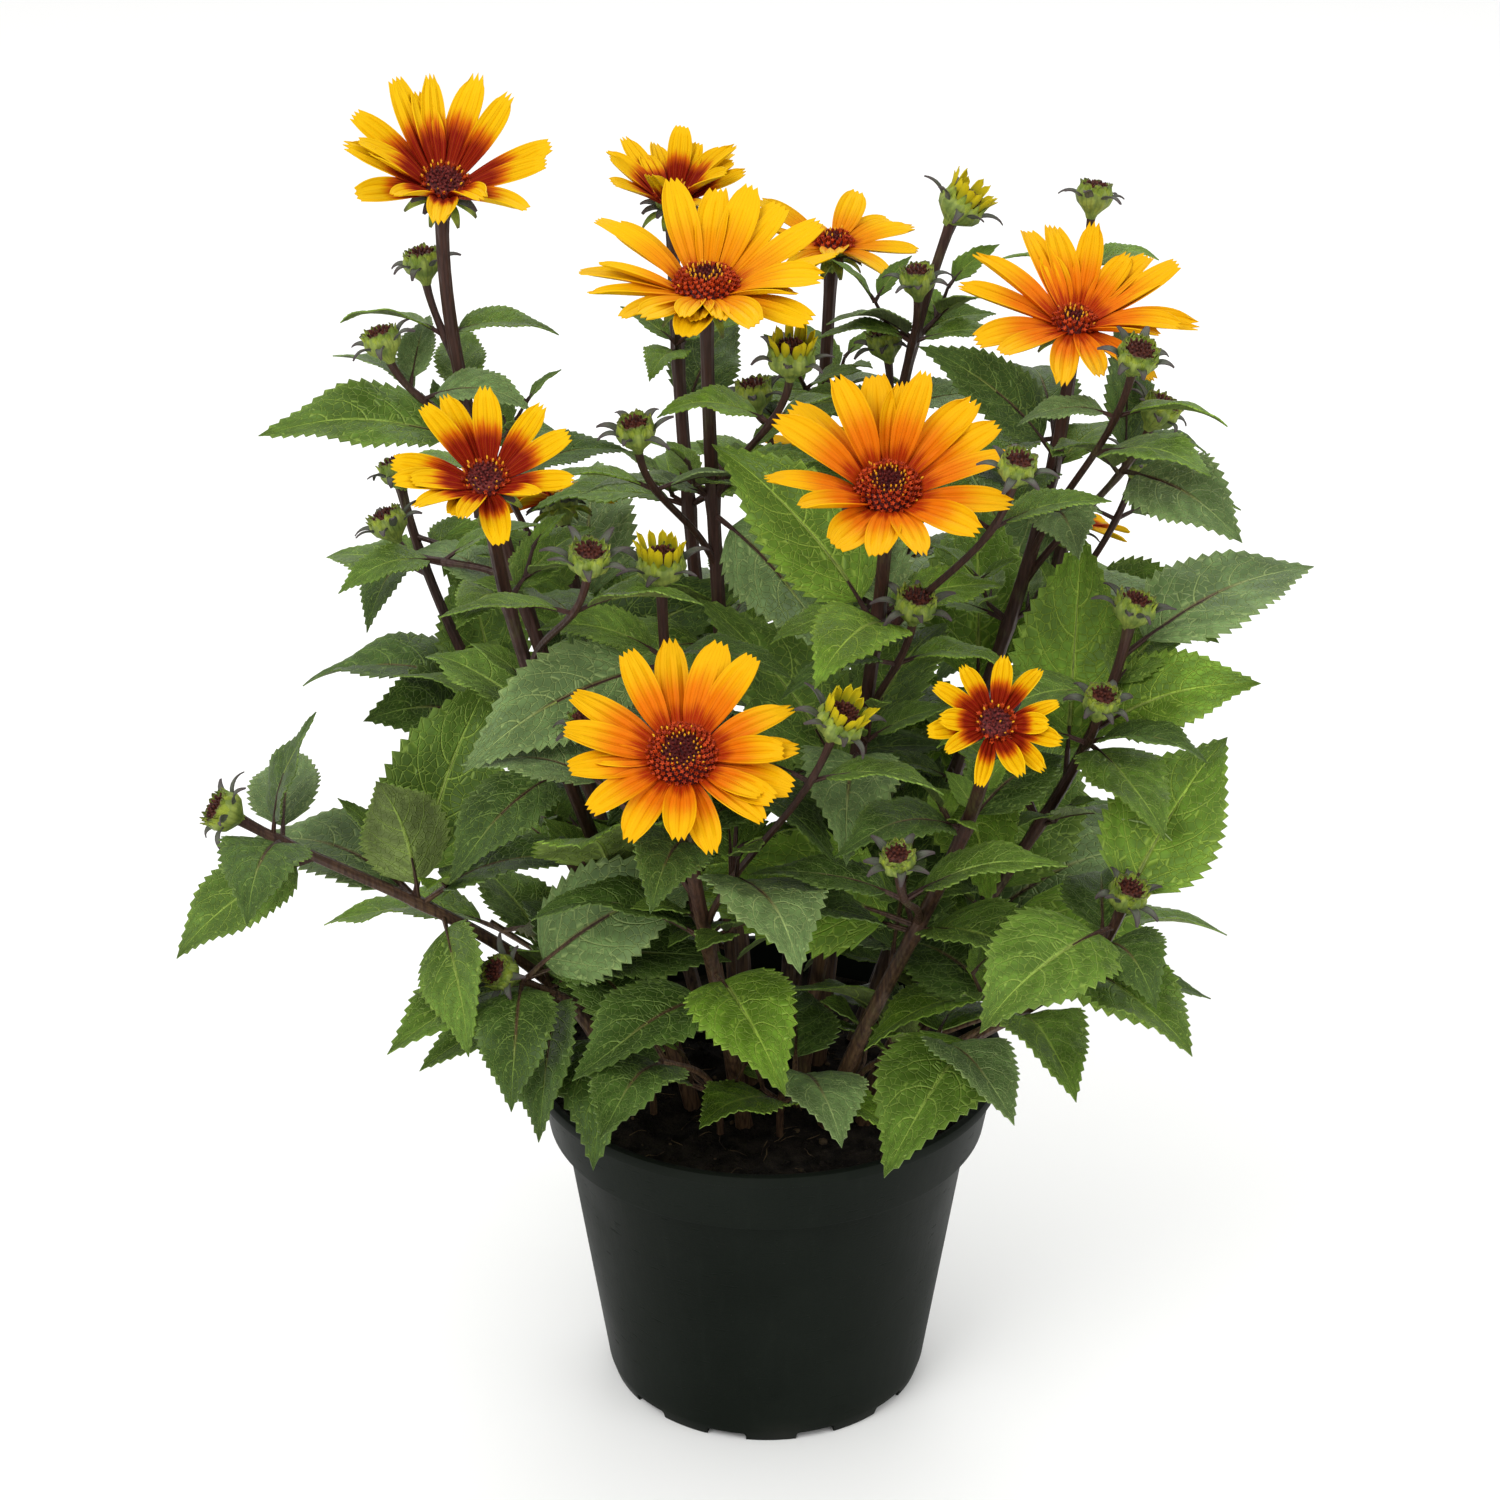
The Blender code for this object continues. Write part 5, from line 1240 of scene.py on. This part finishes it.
def addDisc(bm, place, radius, base, dome, heart, stage, rng):
    # florets in a spiral: open ones round the rim, a ring tipped with pollen, closed ones in the heart
    look = headLook
    slots, (openFrom, ring) = look.floretSlots, look.stages[stage]
    rows = ((0.0, 1.01), (0.45, 0.90), (0.84, 0.66), (0.90, 0.42), (0.84, 0.20), (0.80, 0.0))
    addCup(bm, place, [(base + dome * rise, radius * reach) for rise, reach in rows], 5, 0.0, slots[heart], 24)
    count = int((radius / look.floretGap) ** 2 * 3.3)
    for k in range(count):
        share, turn = math.sqrt((k + 0.5) / count), k * look.spiral
        height = base + dome * ((1.0 - share**3.4) - 0.16 * math.exp(-(share / 0.34) ** 2))
        tilt = share**2 * 0.80
        share = min(share, 0.93)
        spot = Vector((radius * share * math.cos(turn), radius * share * math.sin(turn), height))
        lean = Matrix.Rotation(turn, 4, "Z") @ Matrix.Rotation(tilt, 4, "Y")
        lean = lean @ Matrix.Rotation(rng.uniform(0, 6), 4, "Z")
        kind, slot, wide, tall = "closed", heart, 0.74, (0.8, 1.1)
        if share > openFrom:
            kind, slot, wide, tall = "open", "brick", 1.02, (1.2, 1.8)
        size = look.floretGap * wide * rng.uniform(0.9, 1.1)
        tall = look.floretGap * rng.uniform(*tall)
        grown = place @ Matrix.Translation(spot) @ lean @ Matrix.Diagonal((size, size, tall, 1.0))
        stampMesh(bm, florets[kind], grown, slots[slot])
        if ring and rng.random() < look.pollenShares[0 if ring[0] < share < ring[1] else 1]:
            tip = Matrix.Translation(spot) @ lean @ Matrix.Translation((0.0, 0.0, tall * 1.05))
            small = look.floretGap * rng.uniform(0.38, 0.54)
            grown = place @ tip @ Matrix.Diagonal((small, small, small * 1.7, 1.0))
            stampMesh(bm, florets["closed"], grown, slots["pollen"])


def addFlower(bm, sheets, shoot, rng):
    look, spec = headLook, shoot.spec
    place, radius = headFrame(shoot.tip, shoot.axis), spec.disc / 2
    rim = growth.cupHeight + growth.petalThickness
    neck = growth.neck * 1.3
    addCup(bm, place, (
        (-0.005, neck * 0.8), (-0.0035, neck), (-0.001, radius * 0.62), (0.0015, radius * 0.86),
        (0.0040, radius * 0.94), (0.0052, radius * 0.90), (0.0054, 0.0),
    ), 12, 0.05, 0)
    sizes = random.Random(f"petals {shoot.node}")
    mean = (spec.breadth / 2 - radius) * look.longer.get(shoot.key, 1.0)
    upright, nearShort = (table.get(shoot.key, 0.0) for table in (look.upright, look.nearShort))
    ahead = Vector((shoot.axis.x, shoot.axis.y, 0.0)).normalized()

    def awayShare(angle):  # petals on the side away from the lean stand more upright
        out = place.to_3x3() @ Vector((math.cos(angle), math.sin(angle), 0.0))
        return 0.5 - 0.5 * out.dot(ahead)

    def addPetal(angle, reach, height, length, width, start, end, hollow):
        addStrap(
            sheets, look.petalGrid, place, angle, reach, height, length, width, start, end, petalOutline,
            rng.uniform(-1, 1) * look.roll, rng.uniform(*hollow), look.groove, rng.choice(look.teeth),
            rng.uniform(-0.08, 0.08),
        )

    for k in range(spec.petals):
        length = mean * sizes.uniform(*growth.petalSpread)
        angle = fullTurn * k / spec.petals + math.radians(rng.uniform(-1, 1) * look.yaw)
        away = awayShare(angle)
        length *= 1.0 - nearShort * (1.0 - away) ** 2
        width = fullTurn * (radius + length * 0.52) / spec.petals * spec.wide * rng.uniform(0.88, 1.14)
        lift = spec.lift + upright * away + rng.uniform(-1, 1) * look.pitch + (4.0 if k % 2 else -4.0)
        curve = rng.uniform(*look.curve)
        height = rim - 0.0006 + (0.0005 if k % 2 else 0.0)
        addPetal(angle, radius * 0.86, height, length + radius * 0.14, width, lift + curve * 0.5, lift - curve * 0.5,
                 (-0.10, 0.40))
    for k in range(spec.inner):  # petals of a second row stand more upright
        angle = rng.uniform(0.0, fullTurn)
        long = mean * rng.uniform(0.66, 0.88)
        width = fullTurn * (radius + mean / 2) / spec.petals * 0.84
        lift = spec.lift + upright * awayShare(angle) + rng.uniform(2.0, 9.0)
        addPetal(angle, radius * 0.92, rim + 0.0004, long, width, lift + 4.0, lift - 12.0, (0.0, 0.35))
    for ring, (count, reach, lean) in enumerate(look.bractRings):
        for k in range(count):
            angle = fullTurn * (k + 0.5 * ring) / count + rng.uniform(-0.15, 0.15)
            long = max(radius, 0.008) * reach * rng.uniform(0.85, 1.15)
            addStrap(
                sheets, look.bractGrid, place, angle, radius * (0.80 - 0.22 * ring), 0.0022 - 0.0018 * ring, long,
                0.0034, 30.0 + lean, lean - 34.0, bractOutline, rng.uniform(-12, 12), 0.3, paint=1 + ring,
            )
    heart, stage = ("wine", "dark") if spec.paint == "sun" else ("heart", "ripe")
    addDisc(bm, place, radius, rim - 0.0004, radius * 0.52, heart, stage, rng)


def addBud(bm, sheets, shoot, rng):
    look, opening = headLook, shoot.spec.head == "opening"
    place = headFrame(shoot.tip, shoot.axis, rng.uniform(0.0, 6.0))
    size = growth.bud * (1.18 if opening else rng.uniform(0.86, 1.08))
    neck = growth.twig * 1.35
    addCup(bm, place, (
        (-0.004, neck * 0.8), (-0.0025, neck * 1.1), (-0.0008, size * 0.62), (0.0010, size * 0.92),
        (0.0032, size * 1.06), (0.0054, size * 1.00), (0.0068, size * 0.86), (0.0066, size * 0.70), (0.0056, 0.0),
    ), 8, 0.07, 1)
    for k in range(look.budBracts):  # long bracts that turn back
        angle = fullTurn * k / look.budBracts + rng.uniform(-0.25, 0.25)
        long, start = size * rng.uniform(1.05, 1.75), rng.uniform(38.0, 70.0)
        addStrap(
            sheets, look.bractGrid, place, angle, size * 0.88, 0.0026, long, 0.0028, start,
            start - rng.uniform(60.0, 105.0), bractOutline, rng.uniform(-20, 20), 0.35, sway=rng.uniform(-0.2, 0.2),
            paint=1,
        )
    for k in range(look.budScales):  # short scales round the rim
        angle = fullTurn * (k + 0.5) / look.budScales + rng.uniform(-0.1, 0.1)
        addStrap(
            sheets, look.scaleGrid, place, angle, size * 0.95, 0.0045, size * rng.uniform(0.50, 0.72), 0.0026, 88.0,
            rng.uniform(60.0, 125.0), scaleOutline, hollow=0.5, paint=2,
        )
    rays = 14 if opening else rng.choice((9, 11, 13))
    for k in range(rays):
        angle = fullTurn * k / rays + rng.uniform(-0.10, 0.10)
        long = rng.uniform(0.0064, 0.0088) if opening else size * rng.uniform(0.30, 0.50)
        lean = rng.uniform(66.0, 80.0)
        addStrap(
            sheets, look.rayGrid, place, angle, size * 0.82, 0.0056, long, 0.0024 if opening else 0.0019, lean,
            lean + rng.uniform(-12, 26), rayOutline, rng.uniform(-10, 10), 0.7, teeth=0.05,
            paint=0 if opening else 2,
        )
    addDisc(bm, place, size * 0.72, 0.0056, size * (0.50 if opening else 0.34), "bud", "young", rng)


def dressPlant():
    shoots, leaves, smallLeaves, fineTwigs = growPlant()
    report(f"grown: {len(shoots)} shoots and {len(leaves)} leaves")
    report(f"finer: {len(fineTwigs)} twigs and {len(smallLeaves)} small leaves")
    leafFinish = [makeLeafPaint(f"leaf_{tint}", tint, False) for tint in tints]
    leafFinish += [makeLeafPaint(f"leafBack_{tint}", tint, True) for tint in tints]
    bark = [makeStemPaint(), makeBractPaint("rib")]
    cupGreen, *greens = (makeBractPaint(kind) for kind in ("cup", "bract", "scale"))
    petalFinish = {kind: makePetalPaint(kind) for kind in petalPaint.kinds}
    heartFinish = [cupGreen] * 3 + [makeFloretPaint(kind) for kind in floretPaint]
    for node in dict.fromkeys(shoot.node for shoot in shoots):
        key = node.replace("crown_", "")
        own = [shoot for shoot in shoots if shoot.node == node]
        rng = random.Random(f"looks {node}")
        stalk, twigs, sheets = bmesh.new(), bmesh.new(), bmesh.new()
        for shoot in own:
            addStem(stalk, twigs, shoot)
        if key in stems:
            newPiece(f"stalk_{key}", stalk, bark[:1], [f"stem_{key}"])
        for small, group in ((False, leaves), (True, smallLeaves)):
            for shoot, place in group:
                if shoot.node == node:
                    addLeaf(sheets, twigs, place, rng, small)
        for owner, path in fineTwigs:
            if owner == node:
                limb(twigs, path, tapering(fineTwig.radius, fineTwig.taper, 4), 6, 0.05, 3)
        newPiece(f"leaves_{key}", sheets, leafFinish, [node], leafLook.sheet, len(tints))
        newPiece(f"twigs_{key}", twigs, bark, [node])
        for name, kinds, addHead in (("flower", ("flower",), addFlower), ("buds", ("bud", "opening"), addBud)):
            heads = [shoot for shoot in own if shoot.spec.get("head") in kinds]
            if not heads:
                continue
            solid, petals = bmesh.new(), bmesh.new()
            for shoot in heads:
                addHead(solid, petals, shoot, rng)
            ray = petalFinish[heads[0].spec.get("paint", "young")]
            newPiece(f"{name}_{key}", petals, [ray, *greens], [node], headLook.petalSheet)
            newPiece(f"{name}Heart_{key}", solid, heartFinish, [node])
    report("plant dressed")


# Pot
potLook = Settings(
    height=0.130, lip=0.085, lipDepth=0.004, bandTop=0.0822, bandFoot=0.0787, bandDepth=0.025,
    bodyTop=0.0735, bodyFoot=0.0588, foot=0.0572, footHeight=0.005, footRim=0.0028, pad=0.012,
    wall=0.0014, steps=144, notches=11, notchWidth=0.0145, notchHeight=0.0034, firstNotch=-72.0,
    edgeRound=0.00045, notchRound=0.0011,
)


def roundOff(bm, corners, radius, segments, affect):
    bmesh.ops.bevel(
        bm, geom=corners, offset=radius, offset_type="OFFSET", segments=segments, profile=0.5, affect=affect,
        material=-1,
    )


def makeNotch(turn):  # the block that cuts one notch of the foot
    p = potLook
    place = Matrix.Rotation(math.radians(turn), 4, "Z") @ Matrix.Translation((p.foot, 0.0, 0.0))
    size = Matrix.Diagonal((4 * p.footRim, p.notchWidth, 2 * p.notchHeight, 1.0))
    bm = bmesh.new()
    bmesh.ops.create_cube(bm, size=1.0, matrix=place @ size)
    out = place.col[0].xyz
    runs = [(edge, edge.verts[0].co - edge.verts[1].co) for edge in bm.edges]
    across = [edge for edge, run in runs if abs(run.normalized().dot(out)) > 0.9]
    roundOff(bm, across, p.notchRound, 3, "EDGES")
    return bpy.data.objects.new("notch", newMesh("notch", bm))


def makePot():
    p, wall, foot, rim = potLook, potLook.wall, potLook.footHeight, potLook.foot - potLook.footRim
    lipFoot, bandFoot, floor = p.height - p.lipDepth, p.height - p.bandDepth, foot + wall
    profile = (
        (0.0, floor), (p.bodyFoot - wall, floor), (p.bodyTop - wall, bandFoot), (p.bandFoot - wall, bandFoot + wall),
        (p.bandTop - wall, lipFoot), (p.lip - 2 * wall, p.height), (p.lip, p.height), (p.lip, lipFoot),
        (p.bandTop, lipFoot - wall / 2), (p.bandFoot, bandFoot), (p.bodyTop, bandFoot - wall / 2),
        (p.bodyFoot, foot), (p.foot, 0.0), (rim, 0.0), (rim, foot), (p.pad, foot), (p.pad, 0.0), (0.0, 0.0),
    )
    bm = bmesh.new()
    line = [bm.verts.new((x, 0.0, z)) for x, z in profile]
    for pair in zip(line, line[1:]):
        bm.edges.new(pair)
    roundOff(bm, line[1:-1], p.edgeRound, 2, "VERTICES")
    bmesh.ops.spin(
        bm, geom=bm.verts[:] + bm.edges[:], axis=(0, 0, 1), cent=(0, 0, 0), steps=p.steps, angle=fullTurn,
        use_merge=True,
    )
    bmesh.ops.remove_doubles(bm, verts=bm.verts, dist=1e-6)
    bmesh.ops.recalc_face_normals(bm, faces=bm.faces)
    for face in bm.faces:
        face.smooth = True
    pot = newObject("potBody", newMesh("potBody", bm))
    cutters = bpy.data.collections.new("cutters")
    for k in range(p.notches):
        cutters.objects.link(makeNotch(p.firstNotch + 360.0 / p.notches * k))
    bpy.context.scene.collection.children.link(cutters)
    hole = pot.modifiers.new("notches", "BOOLEAN")
    hole.operation, hole.operand_type, hole.solver = "DIFFERENCE", "COLLECTION", "EXACT"
    hole.collection = cutters
    applyModifiers(pot)
    for cutter in list(cutters.objects):
        bpy.data.objects.remove(cutter, do_unlink=True)
    bpy.data.collections.remove(cutters)
    pot.data.materials.clear()
    pot.data.materials.append(makePotPaint())
    pot.data.set_sharp_from_angle(angle=math.radians(32.0))
    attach(pot, "root")
    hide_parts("pot")
    report("pot made")


# Soil
soilLook = Settings(
    top=0.119, above=0.14, rings=26, sides=120, rough=0.0021, seed="peat", crumbs=620, crumbReach=0.97,
    crumbSize=(0.0005, 0.0021), peatShare=0.9, fibres=90, fibreReach=0.92, fibreLength=(0.004, 0.012),
    fibreRadii=(0.00012, 0.0002, 0.0002, 0.00018, 0.0001),
)


def makeSoil():
    p, look, wall, inset = potLook, soilLook, potLook.wall, 2 * growth.gap
    bandFoot, floor = p.height - p.bandDepth, p.footHeight + wall + growth.gap
    slope = (p.bandTop - p.bandFoot) / (p.bandDepth - p.lipDepth)
    edge = p.bandFoot - wall + slope * (look.top - bandFoot) - inset
    side = [
        (0.0, floor), (p.bodyFoot - wall - inset, floor), (p.bodyTop - wall - inset, bandFoot + growth.gap),
        (p.bandFoot - wall - 1.5 * inset, bandFoot + 2 * wall), (edge, look.top - 0.001),
    ]
    profile = side + [(edge * (1.0 - (k + 1) / look.rings), look.top) for k in range(look.rings)]
    radii, heights = np.array(profile).T
    steps = len(profile) - 1

    def bend(x, y):
        row, turn = roundGrid(x, y, steps)
        points = np.stack((radii[row] * np.cos(turn), radii[row] * np.sin(turn), heights[row]), axis=1)
        for point, number in zip(points, row):
            if number >= len(side):
                spot = Vector(point)
                lump = noise.fractal(spot * 90.0, 0.8, 2.1, 4) + 0.6 * noise.noise(spot * 420.0)
                point[2] += look.rough * lump
        return points

    bm = bmesh.new()
    stamp(bm, look.sides, steps, bend)
    paints = [makeSoilPaint("peat"), makeSoilPaint("straw")]
    newPiece("soilBody", bm, paints[:1], ["soil"], sharp=60.0)
    rng = random.Random(look.seed)
    tree = BVHTree.FromObject(bpy.data.objects["soilBody"], bpy.context.evaluated_depsgraph_get())

    def anySpot(share):
        reach, turn = edge * share * math.sqrt(rng.random()), rng.uniform(0.0, 6.283)
        return reach * math.cos(turn), reach * math.sin(turn)

    def topAt(x, y):
        return tree.ray_cast(Vector((x, y, look.above)), down)[0].z

    bm = bmesh.new()
    bm.loops.layers.uv.new("grain")
    bmesh.ops.create_icosphere(bm, subdivisions=1, radius=1.0, calc_uvs=True)
    crumb = newMesh("crumb", bm)
    bm = bmesh.new()
    for k in range(look.crumbs):
        x, y = anySpot(look.crumbReach)
        size = rng.uniform(*look.crumbSize) * rng.uniform(0.5, 1.0)
        shape = Matrix.Diagonal((size, size * rng.uniform(0.5, 1.0), size * rng.uniform(0.4, 0.8), 1.0))
        place = Matrix.Translation((x, y, topAt(x, y) + size * 0.25)) @ Matrix.Rotation(rng.uniform(0, 6), 4, "Z")
        stampMesh(bm, crumb, place @ shape, 0 if rng.random() < look.peatShare else 1)
    for k in range(look.fibres):
        x, y = anySpot(look.fibreReach)
        heading, long = rng.uniform(0.0, 360.0), rng.uniform(*look.fibreLength)
        path = []
        for n in range(len(look.fibreRadii)):
            heading += rng.uniform(-25.0, 25.0)
            path.append(Vector((x, y, topAt(x, y) + 0.0005 + 0.0006 * math.sin(n * 0.8))))
            step = direction(heading, 0.0) * long / 4
            x, y = x + step.x, y + step.y
            if math.hypot(x, y) > edge * 0.96:
                x, y = x * 0.95, y * 0.95
        limb(bm, path, look.fibreRadii, 5, 0.0, 1, 1)
    newPiece("soilCrumbs", bm, paints, [])
    bpy.data.meshes.remove(crumb)
    report("soil made")


def saveSizes():
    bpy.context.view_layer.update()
    report("sizes written")


bpy.context.scene.view_settings.view_transform = "Standard"
florets = {kind: newFloret(kind) for kind in ("open", "closed")}
setCamera()
setStudio()
makePot()
makeSoil()
dressPlant()
for spare in (*grids.values(), *florets.values()):
    bpy.data.meshes.remove(spare)
saveSizes()
